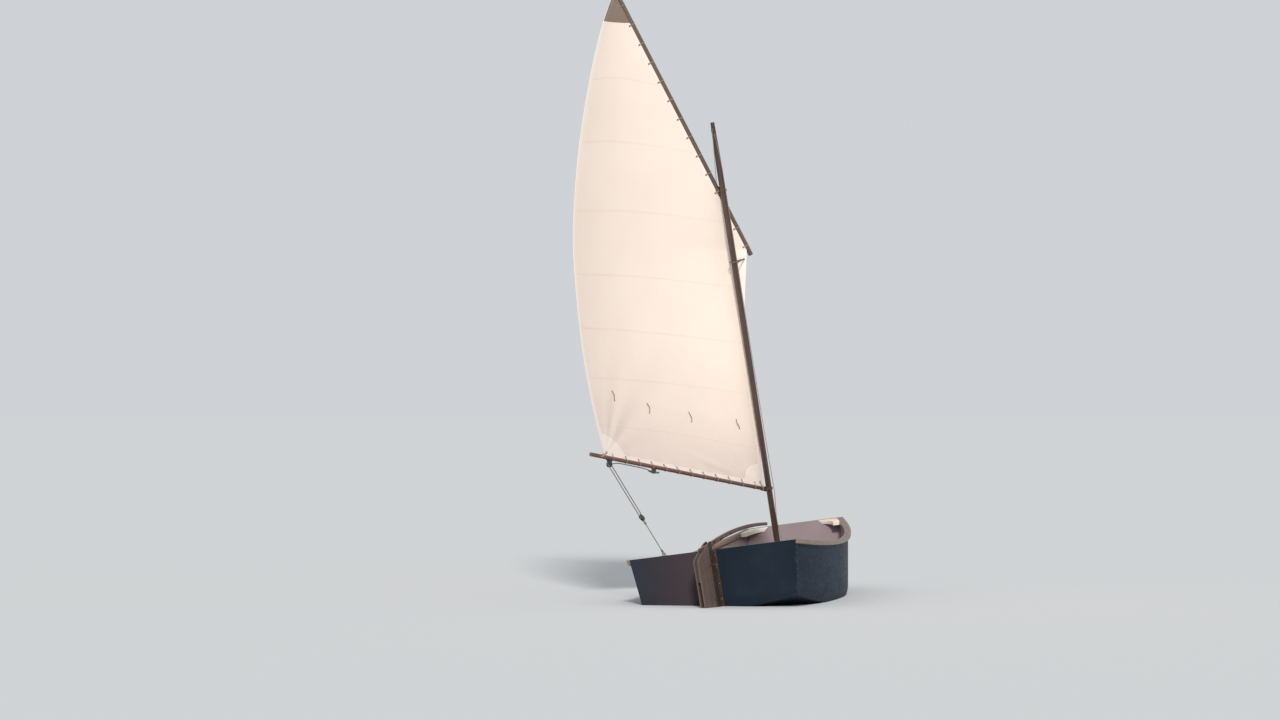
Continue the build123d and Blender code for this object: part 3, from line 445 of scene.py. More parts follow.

# Rudder, as in the part's source: the pintles' axis and the helm; its cheeks are darker along the leading
# edge
STERN_AT_WATER = -1.393784
PINTLE_AFT = -0.042
STERN_RAKE = 8.0
HELM_ANGLE = 15.0
RUDDER_FRONT = -0.012
RUDDER_BAND = 0.058
BAND_DARK = (0.022, 0.014, 0.010)
rudder_turn = Matrix.Rotation(math.radians(-STERN_RAKE), 4, "Y")
rudder_frame = Matrix.Translation((STERN_AT_WATER, 0, 0)) @ rudder_turn
rudder_frame = rudder_frame @ Matrix.Translation((PINTLE_AFT, 0, 0))
rudder_frame = rudder_frame @ Matrix.Rotation(math.radians(-HELM_ANGLE), 4, "Z")
rudder_ahead = turned(rudder_frame, 1, 0, 0)
rudder_band_at = rudder_ahead.dot(at(rudder_frame, RUDDER_FRONT - RUDDER_BAND, 0, 0))
rudder_band = (tuple(rudder_ahead), rudder_band_at, BAND_DARK)
materials = {
    "mast": wood("mast_varnish", "mast", mast_frame),
    "yard": wood("yard_varnish", "yard", yard_frame),
    "boom": wood("boom_varnish", "boom", boom_frame),
    "tiller": wood("tiller_varnish", "tiller", fore_aft),
    "rudder_cheeks": wood("rudder_ply", "rudder", rudder_turn, rudder_band),
    "rudder_blade": wood("blade_ply", "rudder", rudder_turn),
    "rudder_spacer": wood("spacer_wood", "dark", rudder_turn),
    "stern_post": wood("post_wood", "dark", rudder_turn),
    "daggerboard": wood("board_ply", "seat", upright),
    "daggerboard_handles": wood("handle_wood", "trim", fore_aft),
    "boom_cleat": wood("boom_cleat_wood", "dark", boom_frame),
    "mast_cleat": wood("mast_cleat_wood", "dark", mast_frame),
    "oarlock_blocks": wood("block_wood", "trim", fore_aft),
    "corner_knees": paint("knee_paint", KNEES_PALE_AS_SUNLIT, BARE, 0.45),
    "sheet_eye": metal("steel", (0.50, 0.50, 0.50), (0.22, 0.21, 0.20), 0.32),
}
steel = materials["sheet_eye"]
bronze = metal("bronze", (0.42, 0.27, 0.13), (0.13, 0.11, 0.07))
brass = metal("brass", (0.52, 0.38, 0.18), (0.26, 0.19, 0.10), 0.32)
black = moulded("block_black", (0.022, 0.022, 0.025), 0.38)
for material, names in (
    (paint("skeg_paint", HULL, BARE), ("skeg", "outer_keel")),
    (wood("gunwale_wood", "trim", fore_aft), ("gunwale_port", "gunwale_starboard")),
    (wood("thwart_wood", "seat", athwart), ("stern_seat", "mid_seat", "mast_thwart")),
    (paint("inside_paint", INSIDE, BARE, 0.45),
     ("keelson", "frames", "seat_risers", "mast_step", "daggerboard_trunk")),
    (bronze, ("oarlock_sockets", "rudder_gudgeons", "rudder_pintles", "blade_pivot", "painter_eye")),
    (black, ("boom_block", "masthead_block")),
    (leather("collar_leather", (0.115, 0.062, 0.038), (0.050, 0.027, 0.018)), ("boom_collar", "yard_collar")),
):
    for name in names:
        materials[name] = material
OUTWARD = {
    "side_panel_port": (0.0, 1.0, 0.0),
    "side_panel_starboard": (0.0, -1.0, 0.0),
    "bottom_panel_port": (0.0, 0.0, -1.0),
    "bottom_panel_starboard": (0.0, 0.0, -1.0),
    "stern_transom": (-1.0, 0.0, 0.0),
    "bow_transom": (1.0, 0.0, 0.0),
}
for name, outward in OUTWARD.items():
    # The stern transom carries a painted reflection of warm light on its port half
    painted_reflection = HULL_PAINTED_REFLECTION if name == "stern_transom" else None
    # Side panels take the bluer copy of the hull paint, with the sky's reflection painted in
    skin = HULL_SIDE_PAINTED_SKY if name.startswith("side_panel") else HULL
    materials[name] = paint(name + "_paint", skin, BARE, 0.42, outward, INSIDE, painted_reflection)

boom_up_dir = tuple(turned(boom_frame, 1, 0, 0))
boom_height = Vector(boom_up_dir).dot(boom_frame.translation)
HEAD_BROWN = (0.290, 0.215, 0.175)
# The last colour of each cloth is the painted shade it takes near the boom
sail_white = sailcloth("sailcloth", (0.990, 0.850, 0.738), (0.955, 0.810, 0.705), (0.730, 0.610, 0.560))
hem_white = sailcloth("sail_hem", (1.0, 0.880, 0.790), (0.975, 0.850, 0.760), (0.86, 0.75, 0.70))
head_brown = sailcloth("head_patch", HEAD_BROWN, (0.215, 0.160, 0.130), HEAD_BROWN)
thread_white = cordage("thread", (0.985, 0.860, 0.750), (0.92, 0.79, 0.69))
tie_pale = cordage("tie_cord", (0.42, 0.34, 0.29), (0.28, 0.22, 0.18))
tie_brown = cordage("dark_cord", (0.22, 0.175, 0.145), (0.13, 0.10, 0.08))
sheet_grey = cordage("sheet_rope", (0.20, 0.19, 0.185), (0.11, 0.105, 0.10))
halyard_tan = cordage("halyard_rope", (0.34, 0.29, 0.24), (0.20, 0.165, 0.135))

# CAD nodes: materials, joined edges and small bevels
BEVELS = (
    (0.005, ("tiller", "daggerboard_handles")),
    (0.004, ("stern_seat", "mid_seat", "mast_thwart", "mast_step")),
    (0.003, ("gunwale_port", "gunwale_starboard", "stern_post", "keelson", "frames", "oarlock_blocks",
             "mast_cleat", "boom_cleat", "skeg", "mast", "boom", "yard")),
    (0.002, ("corner_knees", "rudder_cheeks", "rudder_spacer", "seat_risers", "daggerboard_trunk",
             "stern_transom", "bow_transom", "outer_keel", "rudder_blade")),
    (0.0012, ("boom_block",)),
    (0.001, ("daggerboard", "boom_collar", "yard_collar", "blade_pivot", "masthead_block")),
    (0.0008, ("sheet_eye", "painter_eye")),
    (0.0006, ("rudder_gudgeons", "rudder_pintles")),
    (0.0004, ("oarlock_sockets",)),
)
JOIN_UNDER = 0.00002
BEVEL_OVER = math.radians(35)
for name, obj in nodes.items():
    if name in materials:
        obj.data.materials.clear()
        obj.data.materials.append(materials[name])
for width, names in BEVELS:
    for name in names:
        weld = nodes[name].modifiers.new("weld", "WELD")
        weld.merge_threshold = JOIN_UNDER
        bevel = nodes[name].modifiers.new("bevel", "BEVEL")
        bevel.width = width
        bevel.segments = 2
        bevel.limit_method = "ANGLE"
        bevel.angle_limit = BEVEL_OVER
        bevel.harden_normals = False

# Mesh helpers
SHARP = math.radians(42)


class Mesh:
    """Vertices and faces gathered for one joined mesh."""

    def __init__(self):
        self.verts = []
        self.faces = []

    def add(self, verts, faces):
        base = len(self.verts)
        self.verts += verts
        self.faces += [tuple(i + base for i in f) for f in faces]

    def make(self, name, material, body, smooth=True):
        data = bpy.data.meshes.new(name)
        data.from_pydata([tuple(v) for v in self.verts], [], self.faces)
        data.polygons.foreach_set("use_smooth", [smooth] * len(self.faces))
        data.materials.append(material)
        data.update()
        if smooth:
            data.set_sharp_from_angle(angle=SHARP)
        obj = bpy.data.objects.new(name, data)
        scene.collection.objects.link(obj)
        if body:
            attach(obj, body)
        return obj


def frames_along(points, closed=False):
    """A point, a side and a second side at each point of a path, without twist."""
    n = len(points)
    tangents = []
    for i in range(n):
        a = points[(i - 1) % n] if closed or i > 0 else points[0]
        b = points[(i + 1) % n] if closed or i < n - 1 else points[-1]
        tangents.append((b - a).normalized())
    side = tangents[0].orthogonal().normalized()
    frames = []
    for p, t in zip(points, tangents):
        side = (side - t * side.dot(t)).normalized()
        frames.append((p, side, t.cross(side)))
    return frames


def lattice(rows, columns, close_rows=False, close_columns=False):
    """Faces between rows of points. Either way can close round on itself."""
    faces = []
    for i in range(rows if close_rows else rows - 1):
        here, there = i * columns, (i + 1) % rows * columns
        for k in range(columns if close_columns else columns - 1):
            m = (k + 1) % columns
            faces.append((here + k, here + m, there + m, there + k))
    return faces


def turn_over(faces):
    return [tuple(reversed(f)) for f in faces]


def capped(rows, columns):
    """Faces of a tube between rows of points, with both ends closed."""
    ends = [tuple(reversed(range(columns))), tuple(range((rows - 1) * columns, rows * columns))]
    return lattice(rows, columns, close_columns=True) + ends


def round_way(a, b, turn):
    """Direction at an angle from one direction towards another."""
    return a * math.cos(turn) + b * math.sin(turn)


def tube(points, radius, sides=8, closed=False):
    """Verts and faces of a tube along a path, with rounded-off ends where it is open."""
    rings = frames_along(points, closed)
    verts = []
    for p, a, b in rings:
        for k in range(sides):
            turn = 2 * math.pi * k / sides
            verts.append(p + round_way(a, b, turn) * radius)
    n = len(rings)
    return verts, lattice(n, sides, True, True) if closed else capped(n, sides)


def curve_points(points, step, closed=False):
    """Points a step apart on a smooth curve through the given ones."""
    pts = [Vector(p) for p in points]
    n = len(pts)
    out = []
    for i in range(n if closed else n - 1):
        if closed:
            p0, p1, p2, p3 = pts[i - 1], pts[i], pts[(i + 1) % n], pts[(i + 2) % n]
        else:
            p0, p1, p2, p3 = pts[max(i - 1, 0)], pts[i], pts[i + 1], pts[min(i + 2, n - 1)]
        count = max(1, round((p2 - p1).length / step))
        for k in range(count):
            t = k / count
            out.append(
                0.5 * (2 * p1 + (p2 - p0) * t + (2 * p0 - 5 * p1 + 4 * p2 - p3) * t * t
                       + (3 * p1 - p0 - 3 * p2 + p3) * t * t * t)
            )
    if not closed:
        out.append(pts[-1])
    return out


# Laid rope: length of a turn in diameters, steps in a turn, and each strand's offset and radius
ROPE_TURN = 3.6
ROPE_STEPS = 7
STRAND_OUT = 0.5
STRAND_R = 0.54


def rope(points, radius, closed=False, sides=6):
    """Three strands laid round a path of control points."""
    pitch = 2 * radius * ROPE_TURN
    path = curve_points(points, pitch / ROPE_STEPS, closed)
    length = sum((b - a).length for a, b in zip(path, path[1:]))
    turns = max(1, round(length / pitch))
    rings = frames_along(path, closed)
    part = Mesh()
    for strand in range(3):
        line = []
        for i, (p, a, b) in enumerate(rings):
            turn = 2 * math.pi * (strand / 3 + turns * i / len(rings))
            line.append(p + round_way(a, b, turn) * radius * STRAND_OUT)
        part.add(*tube(line, radius * STRAND_R, sides, closed))
    return part.verts, part.faces


def revolve(profile, place, sides=20):
    """Verts and faces of (radius, height) points turned about the Z axis of a frame."""
    verts = []
    for k in range(sides):
        turn = 2 * math.pi * k / sides
        verts += [at(place, r * math.cos(turn), r * math.sin(turn), z) for r, z in profile]
    return verts, turn_over(lattice(sides, len(profile), close_rows=True))


def ring(place, radius, wire, sides=20, around=8):
    """Verts and faces of a ring of round wire about the Z axis of a frame."""
    turns = [2 * math.pi * k / sides for k in range(sides)]
    path = [at(place, radius * math.cos(turn), radius * math.sin(turn), 0.0) for turn in turns]
    return tube(path, wire, around, closed=True)


def frame_at(point, normal, along=None):
    """Frame at a point with Z along a normal."""
    z = normal.normalized()
    x = z.orthogonal() if along is None else along - z * along.dot(z)
    x.normalize()
    y = z.cross(x)
    m = Matrix((x, y, z)).transposed().to_4x4()
    m.translation = point
    return m


def sheet_faces(across, up):
    """Top and edge faces of a thin sheet on a grid, whose lower points follow the upper ones."""
    row = across + 1
    layer = row * (up + 1)
    faces = lattice(up + 1, row)
    rim = list(range(row))
    rim += [j * row + across for j in range(1, up + 1)]
    rim += [up * row + i for i in range(across - 1, -1, -1)]
    rim += [j * row for j in range(up - 1, 0, -1)]
    for a, b in zip(rim, rim[1:] + rim[:1]):
        faces.append((b, a, layer + a, layer + b))
    return faces


def within(end, share):
    """A place between two ends that are each set in by the same amount."""
    return end + (1 - 2 * end) * share


def even(count):
    return [i / count for i in range(count + 1)]


# The sail's surface
def smooth_curve(knots, values, x):
    """Cubic curve through values at knots."""
    i = 0
    while i < len(knots) - 2 and x > knots[i + 1]:
        i += 1

    def slope(j):
        lo, hi = max(j - 1, 0), min(j + 1, len(knots) - 1)
        return (values[hi] - values[lo]) / (knots[hi] - knots[lo])

    h = knots[i + 1] - knots[i]
    t = (x - knots[i]) / h
    a, b = values[i], values[i + 1]
    m, n = slope(i) * h, slope(i + 1) * h
    return (
        (2 * t**3 - 3 * t**2 + 1) * a + (t**3 - 2 * t**2 + t) * m
        + (3 * t**2 - 2 * t**3) * b + (t**3 - t**2) * n
    )


def head_aft(up):
    lean = math.hypot(1, 1 / yard_slope)
    return YARD_HEEL[0] + (up - YARD_HEEL[1]) / yard_slope + (YARD_R + SAIL_SLOT) * lean


luff_points = SAIL_LUFF_LOW + [(head_aft(up), up) for up in SAIL_HEAD_UP]
THROAT_ROW = len(SAIL_LUFF_LOW)
sail_knots = even(len(SAIL_LEECH) - 1)
throat_s = sail_knots[THROAT_ROW]


def pair_at(knots, points, s):
    return tuple(smooth_curve(knots, [p[k] for p in points], s) for k in (0, 1))


def luff_at(s):
    if s <= throat_s:
        return pair_at(sail_knots[:THROAT_ROW + 1], luff_points[:THROAT_ROW + 1], s)
    up = smooth_curve(sail_knots[THROAT_ROW:], SAIL_HEAD_UP, s)
    return head_aft(up), up


def leech_at(s):
    return pair_at(sail_knots, SAIL_LEECH, s)


# Creases from clew, tack and throat: corner, first angle, spread, waves, reach and size
FANS = (
    (SAIL_LEECH[0], 96.0, 92.0, 3.2, 0.55, 0.006),
    (SAIL_LUFF_LOW[0], 16.0, 80.0, 2.6, 0.50, 0.008),
    (luff_points[THROAT_ROW], -88.0, 70.0, 3.0, 0.30, 0.004),
)
# The corner patches stiffen the cloth out to this radius
FAN_STIFF = 0.26
FAN_PHASE = 0.6


def fan(a, u, corner, start, spread_angle, count, reach, size):
    """Creases that fan out from a corner of the sail."""
    x, y = a - corner[0], u - corner[1]
    r = math.hypot(x, y)
    if r < 1e-6:
        return 0.0
    turn = (math.degrees(math.atan2(y, x)) - start) / spread_angle
    if not 0 < turn < 1:
        return 0.0
    rise = math.sin(math.pi * turn)
    fade = math.exp(-r / reach) * min(1.0, r / FAN_STIFF) ** 2
    return size * rise * fade * math.sin(2 * math.pi * count * turn + FAN_PHASE)


# A fold over the foot near the tack: its ends, aft of the mast and above the boom, depth and width
FOLD_FORE = (0.22, 0.055)
FOLD_AFT = (0.80, 0.175)
FOLD_DEEP = 0.009
FOLD_WIDE = 0.028
FOLD_REACH = 0.12

# Small waves along the foot, slack all over, and how fast all of it grows from luff and leech
SHELF_SIZE = 0.0035
SHELF_WAVE = 0.185
SHELF_REACH = 0.06
SHELF_START = 0.03
GIRT_SIZE = 0.0035
GIRT_SLANT = (2.1, 1.3)
GIRT_UP = (1.7, -0.8)
LUFF_GROWTH = 8
LEECH_GROWTH = 14


def creases(t, a, u):
    edge = min(1.0, LUFF_GROWTH * t) * min(1.0, LEECH_GROWTH * (1 - t))
    foot = u - (BOOM_FORE[1] + (a - BOOM_FORE[0]) * boom_slope)
    fold_share = (a - FOLD_FORE[0]) / (FOLD_AFT[0] - FOLD_FORE[0])
    fold_away = (foot - FOLD_FORE[1] - fold_share * (FOLD_AFT[1] - FOLD_FORE[1])) / FOLD_WIDE
    fold = -FOLD_DEEP * math.exp(-(fold_away**2) - (fold_share - 0.5) ** 2 / FOLD_REACH)
    shelf = SHELF_SIZE * math.cos(2 * math.pi * a / SHELF_WAVE) * math.exp(-abs(foot) / SHELF_REACH)
    slant = math.sin(GIRT_SLANT[0] * a + GIRT_SLANT[1] * u)
    girt = GIRT_SIZE * slant * math.sin(GIRT_UP[0] * u + GIRT_UP[1])
    fans = sum(fan(a, u, *values) for values in FANS)
    return (fans + girt + fold) * edge + shelf * min(1.0, foot / SHELF_START) * edge


def sail_flat(s, t):
    """Point of the sail in the rig's plane, and its stand-off from that plane."""
    (la, lu), (ea, eu) = luff_at(s), leech_at(s)
    a = la + (ea - la) * t
    u = lu + (eu - lu) * t
    belly = max(0.0, smooth_curve(sail_knots, SAIL_BELLY, s))
    return a, u, 4 * belly * t * (1 - t) + creases(t, a, u)


sail_side = turned(rig_frame, 0, -1, 0)
NORMAL_STEP = 0.004


def cloth(s, t, lift=0.0):
    """Point on the sail, lifted along its normal towards the starboard side."""
    a, u, off = sail_flat(s, t)
    p = at(rig_frame, -a, RIG_OFFSET + off, u)
    if lift == 0.0:
        return p
    return p + cloth_normal(s, t) * lift


def cloth_normal(s, t):
    across = cloth(s, t + NORMAL_STEP) - cloth(s, t - NORMAL_STEP)
    rise = cloth(min(1.0, s + NORMAL_STEP), t) - cloth(max(0.0, s - NORMAL_STEP), t)
    n = across.cross(rise).normalized()
    return n if n.dot(sail_side) > 0 else -n


def sail_st(a, u):
    """The sail's own coordinates of a point in the rig's plane."""
    lo, hi = 0.0, 1.0
    for _ in range(26):
        s = (lo + hi) / 2
        (la, lu), (ea, eu) = luff_at(s), leech_at(s)
        if (ea - la) * (u - lu) - (eu - lu) * (a - la) > 0:
            lo = s
        else:
            hi = s
    (la, lu), (ea, eu) = luff_at(lo), leech_at(lo)
    chord = (ea - la) ** 2 + (eu - lu) ** 2
    return lo, ((a - la) * (ea - la) + (u - lu) * (eu - lu)) / chord


def chord_at(s):
    (la, lu), (ea, eu) = luff_at(s), leech_at(s)
    return math.hypot(ea - la, eu - lu)


# Rough measures of the sail, per unit of its own coordinates: up from the foot, and up at the foot
SAIL_RISE = 4.2
FOOT_RISE = 2.9
HALF_T = CLOTH_T / 2
HEM_W = 0.032
HEM_T = 0.0006
HEM_TUCK = 0.0002
HEM_TOP = HALF_T + HEM_T
SEAM_W = 0.013
STITCH = 0.009
STITCH_HALF = 0.0007
STITCH_UP = 0.0003
PATCH_SUNK = HALF_T * 0.7


def strip(part, line, sides):
    """A strip along a line of parameters: sides(p) gives the points of its cross-section."""
    rows = [sides(p) for p in line]
    part.add([v for r in rows for v in r], capped(len(rows), len(rows[0])))


def hem_section(point, inner, outer):
    """Folded hem: up one face, round the edge and back down the other."""
    middle = (inner + outer) / 2
    return [
        point(inner, HALF_T - HEM_TUCK), point(inner, HEM_TOP), point(middle, HEM_TOP), point(outer, HEM_TOP),
        point(outer, -HEM_TOP), point(middle, -HEM_TOP), point(inner, -HEM_TOP),
        point(inner, -HALF_T + HEM_TUCK),
    ]


def overlay(part, rows, columns, place, lift):
    """A thin patch on each face of the sail: place(i, j) gives its sail coordinates."""
    for sign in (1, -1):
        spots = [place(i, j) for j in even(rows) for i in even(columns)]
        top = [cloth(s, t, sign * lift) for s, t in spots]
        low = [cloth(s, t, sign * PATCH_SUNK) for s, t in spots]
        faces = sheet_faces(columns, rows)
        part.add(top + low, faces if sign > 0 else turn_over(faces))


def zigzag(part, points_at, length, lift, width):
    """Zigzag stitches along a line on both faces of the sail."""
    count = max(4, int(length / STITCH))
    for sign in (1, -1):
        corners = []
        for i in range(count + 1):
            s, t, ds, dt = points_at(i / count)
            swing = width * (1 if i % 2 else -1)
            corners.append(cloth(s + ds * swing, t + dt * swing, sign * lift))
        for a, b in zip(corners, corners[1:]):
            n = sail_side * sign
            side = (b - a).normalized().cross(n) * STITCH_HALF
            up = n * STITCH_UP
            quad = [a - side, a + side + up, b + side + up, b - side]
            part.add(quad, [(0, 1, 2, 3)] if sign > 0 else [(3, 2, 1, 0)])


SAIL_COLUMNS = 112
SAIL_ROWS = 224
sheet_part = Mesh()
places = [(s, t) for s in even(SAIL_ROWS) for t in even(SAIL_COLUMNS)]
middle = [(cloth(s, t), cloth_normal(s, t) * HALF_T) for s, t in places]
under = [tuple(i + len(places) for i in f) for f in lattice(SAIL_ROWS + 1, SAIL_COLUMNS + 1)]
faces = sheet_faces(SAIL_COLUMNS, SAIL_ROWS) + turn_over(under)
sheet_part.add([p + n for p, n in middle] + [p - n for p, n in middle], faces)
sail = sheet_part.make("sail_cloth", sail_white, "rig")
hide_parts("sail")

# Hems along leech, luff, head and foot, and seams between the cloths
EDGE_ROWS = 150
FOOT_ROWS = 90
FOOT_STEP = 0.01
SIDES = ((1.0, 1.0), (0.0, -1.0))
hems = Mesh()


def edge_point(s, end, sign):
    chord = chord_at(s)
    return lambda width, lift: cloth(s, end - sign * width / chord, lift)


def foot_point(t):
    rise = (cloth(FOOT_STEP, t) - cloth(0.0, t)).length / FOOT_STEP
    return lambda width, lift: cloth(max(0.0, width / rise), t, lift)


for end, sign in SIDES:
    strip(hems, even(EDGE_ROWS), lambda s: hem_section(edge_point(s, end, sign), HEM_W, -HEM_T))
strip(hems, even(FOOT_ROWS), lambda t: hem_section(foot_point(t), HEM_W, 0.0))
hem_obj = hems.make("sail_hems", hem_white, "rig")

SEAMS = [0.085, 0.20, 0.315, 0.43, 0.545, 0.66, 0.775]
SEAM_FALL = 0.012
SEAM_END = 0.01
SEAM_LIFT = 0.0005


def seam_s(base, t):
    """Seams between cloths fall slightly towards the leech."""
    return base + SEAM_FALL * math.sin(math.pi * t)


def seam_place(base, i, j):
    t = within(SEAM_END, i)
    return seam_s(base, t) + SEAM_W / 2 / SAIL_RISE * (2 * j - 1), t


seams = Mesh()
for base in SEAMS:
    overlay(seams, 1, SAIL_COLUMNS, lambda i, j: seam_place(base, i, j), HALF_T + SEAM_LIFT)
seam_obj = seams.make("sail_seams", sail_white, "rig")

# Head patch over the peak, and reinforcing patches at the corners
PATCH_S = 0.912
PATCH_T = 0.0004
PATCH_LIFT = 0.0003
head = Mesh()
overlay(head, 16, 24, lambda i, j: (PATCH_S + (1 - PATCH_S) * j, i), HEM_TOP + PATCH_T)
head_obj = head.make("head_patch", head_brown, "rig")

# Quarter-round patches: corner, and reach along both of the sail's coordinates
CORNERS = (
    (0.0, 1.0, 0.062, -0.135),
    (0.0, 0.0, 0.050, 0.110),
    (throat_s + 0.004, 0.0, -0.055, 0.095),
)


def corner_place(s, t, reach_s, reach_t, grow, i, j):
    turn = math.pi / 2 * i
    return s + reach_s * grow * j * math.sin(turn), t + reach_t * grow * j * math.cos(turn)


corners = Mesh()
for corner in CORNERS:
    for grow, layer in ((1.0, 1), (0.66, 2)):
        overlay(corners, 12, 28, lambda i, j: corner_place(*corner, grow, i, j),
                HEM_TOP + PATCH_LIFT + PATCH_T * layer)
corner_obj = corners.make("corner_patches", hem_white, "rig")

# Reef band with its points
REEF = [(-0.01, 0.872), (0.15, 0.917), (0.604, 1.052), (1.061, 1.195), (1.492, 1.352), (1.79, 1.462)]
reef_line = curve_points([(a, u, 0.0) for a, u in REEF], 0.03)
reef_st = [sail_st(p.x, p.y) for p in reef_line]
BAND_HALF = 0.028
BAND_LIFT = 0.0004


def band_place(i, j):
    k = min(int(i * (len(reef_st) - 1)), len(reef_st) - 2)
    f = i * (len(reef_st) - 1) - k
    s, t = (reef_st[k][c] * (1 - f) + reef_st[k + 1][c] * f for c in (0, 1))
    return s + BAND_HALF / SAIL_RISE * (2 * j - 1), min(0.985, max(0.015, t))


reef = Mesh()
overlay(reef, 2, 80, band_place, HALF_T + BAND_LIFT)
reef_obj = reef.make("reef_band", sail_white, "rig")

# Stitching: two rows on each seam, one on each hem
LEECH_LEN = 3.9
FOOT_LEN = 1.84
ROW_APART = 0.0009
SEAM_STITCH_END = 0.012
SEAM_STITCH_LIFT = 0.0008
ZIGZAG_HALF = 0.00045
EDGE_FIRST = 0.004
EDGE_SPAN = 0.99
HEM_ZIGZAG = 0.0018
FOOT_ZIGZAG = 0.0006
HEM_STITCH_IN = HEM_W - 0.004
HEM_STITCH_LIFT = HEM_TOP + 0.0002
stitches = Mesh()


def seam_stitch(base, shift, x):
    t = within(SEAM_STITCH_END, x)
    return seam_s(base, t) + shift, t, 1.0, 0.0


def edge_stitch(end, sign, x):
    s = EDGE_FIRST + EDGE_SPAN * x
    return s, end - sign * (HEM_STITCH_IN / chord_at(s)), 0.0, HEM_ZIGZAG / chord_at(s)


def foot_stitch(x):
    return HEM_STITCH_IN / FOOT_RISE, within(SEAM_END, x), FOOT_ZIGZAG, 0.0


for base in SEAMS:
    for shift in (-ROW_APART, ROW_APART):
        zigzag(stitches, lambda x: seam_stitch(base, shift, x), chord_at(base),
               HALF_T + SEAM_STITCH_LIFT, ZIGZAG_HALF)
for end, sign in SIDES:
    zigzag(stitches, lambda x: edge_stitch(end, sign, x), LEECH_LEN, HEM_STITCH_LIFT, 1.0)
zigzag(stitches, foot_stitch, FOOT_LEN, HEM_STITCH_LIFT, 1.0)
stitch_obj = stitches.make("sail_stitching", thread_white, "rig", smooth=False)

# Robands that tie the head to the yard and the foot to the boom, through brass eyelets
TIE_R = 0.0014
TIE_APART = TIE_R * 1.05
EYELET_R = 0.0058
LUFF_EYELET_R = 0.007
CORNER_EYELET_R = 0.0085
ties = Mesh()
eyelets = Mesh()


def belt(centre, out, other, big, small, count=20):
    """Closed path round a big circle and a small one, in the plane of two directions."""
    gap = out.length
    e = out.normalized()
    f = other.normalized()
    open_turn = math.acos((big - small) / gap)
    path = []
    for k in range(count + 1):
        turn = open_turn + (2 * math.pi - 2 * open_turn) * k / count
        path.append(centre + round_way(e, f, turn) * big)
    for k in range(7):
        turn = -open_turn + 2 * open_turn * k / 6
        path.append(centre + out + round_way(e, f, turn) * small)
    return path


# Half of a reef knot: along the spar, out from it and away from it, in tie radii
KNOT = (
    (2.4, 0.7, 0.0), (0.6, 0.9, 0.5), (-0.9, 0.0, 1.1), (0.6, -0.9, 0.5), (2.6, -1.0, 0.3), (6.0, -2.4, 0.8),
)
# An eyelet's section: radius and height, in eyelet radii and metres
EYELET = ((1.45, 0.0), (1.38, 0.0007), (1.05, 0.0014), (0.72, 0.0008), (0.66, -0.0008))


def eyelet(point, normal, radius):
    for sign in (1, -1):
        place = frame_at(point + normal * sign * (HEM_TOP + 0.0002), normal * sign)
        eyelets.add(*revolve([(radius * r, z) for r, z in EYELET], place, 18))


def lead_side(axis, out, normal):
    """Direction across a spar that leans towards the sail's starboard face."""
    side = axis.cross(out).normalized()
    return -side if side.dot(normal) < 0 else side


def roband(spar, along_m, spar_r, s, t):
    """One tie round a spar and through the cloth, with its knot on the starboard side."""
    centre = at(spar, 0.0, 0.0, along_m)
    axis = turned(spar, 0, 0, 1)
    hole = cloth(s, t)
    normal = cloth_normal(s, t)
    out = hole - centre
    out = out - axis * out.dot(axis)
    side = lead_side(axis, out, normal)
    for shift in (-TIE_APART, TIE_APART):
        path = belt(centre + axis * shift, out, side, spar_r + TIE_R * 1.1, TIE_R * 1.6)
        ties.add(*tube(path, TIE_R, 7, closed=True))
    at_knot = centre + side * (spar_r + TIE_R * 2.6)
    out.normalize()
    for sign in (1, -1):
        loop = [at_knot + (axis * sign * x + out * y + side * z) * TIE_R for x, y, z in KNOT]
        ties.add(*tube(curve_points(loop, TIE_R * 0.8), TIE_R * 0.55, 6))
    eyelet(hole, normal, EYELET_R)


HOLE_IN = 0.017
HEAD_TIES = 13
HEAD_FIRST = 0.012
HEAD_SPAN = 0.955
FOOT_TIES = 11
FOOT_END = 0.052


def yard_r_at(along_m):
    share = max(0.0, (along_m - (yard_len - YARD_TAPER)) / YARD_TAPER)
    return YARD_R + (YARD_TIP_R - YARD_R) * share


def spar_z(spar, s, t):
    """How far along a spar a point of the sail is."""
    return (spar.inverted() @ cloth(s, t)).z


head_low, head_high = luff_points[THROAT_ROW], luff_points[-1]
for share in even(HEAD_TIES):
    up = head_low[1] + (head_high[1] - head_low[1]) * (HEAD_FIRST + HEAD_SPAN * share)
    s = sail_st(head_aft(up) + 0.004, up)[0]
    t = HOLE_IN / max(0.12, chord_at(s))
    z = spar_z(yard_frame, s, t)
    roband(yard_frame, z, yard_r_at(z), s, t)
for share in even(FOOT_TIES):
    s, t = HOLE_IN / FOOT_RISE, within(FOOT_END, share)
    roband(boom_frame, spar_z(boom_frame, s, t), BOOM_R, s, t)

# Luff tie round the mast, below the throat
LUFF_TIE_UP = 2.083
LUFF_TIE_R = 0.034
LUFF_TIE_IN = 0.022
LUFF_TIE_S = 0.46
LUFF_BIGHT_R = 0.004
LUFF_CORD_R = 0.0025
LUFF_TURNS_APART = 0.0026
luff_s = sail_st(luff_at(LUFF_TIE_S)[0] + 0.02, LUFF_TIE_UP)[0]
luff_t = LUFF_TIE_IN / chord_at(luff_s)
luff_hole = cloth(luff_s, luff_t)
mast_axis = turned(mast_frame, 0, 0, 1)
tie_centre = at(mast_frame, 0, 0, (mast_frame.inverted() @ luff_hole).z)
tie_out = luff_hole - tie_centre
tie_side = mast_axis.cross(tie_out).normalized()
luff_tie = Mesh()
for shift in (-LUFF_TURNS_APART, LUFF_TURNS_APART):
    path = belt(tie_centre + mast_axis * shift, tie_out, tie_side, LUFF_TIE_R, LUFF_BIGHT_R, 28)
    luff_tie.add(*tube(path, LUFF_CORD_R, 8, closed=True))
luff_tie_obj = luff_tie.make("luff_tie", tie_brown, "rig")
eyelet(luff_hole, cloth_normal(luff_s, luff_t), LUFF_EYELET_R)

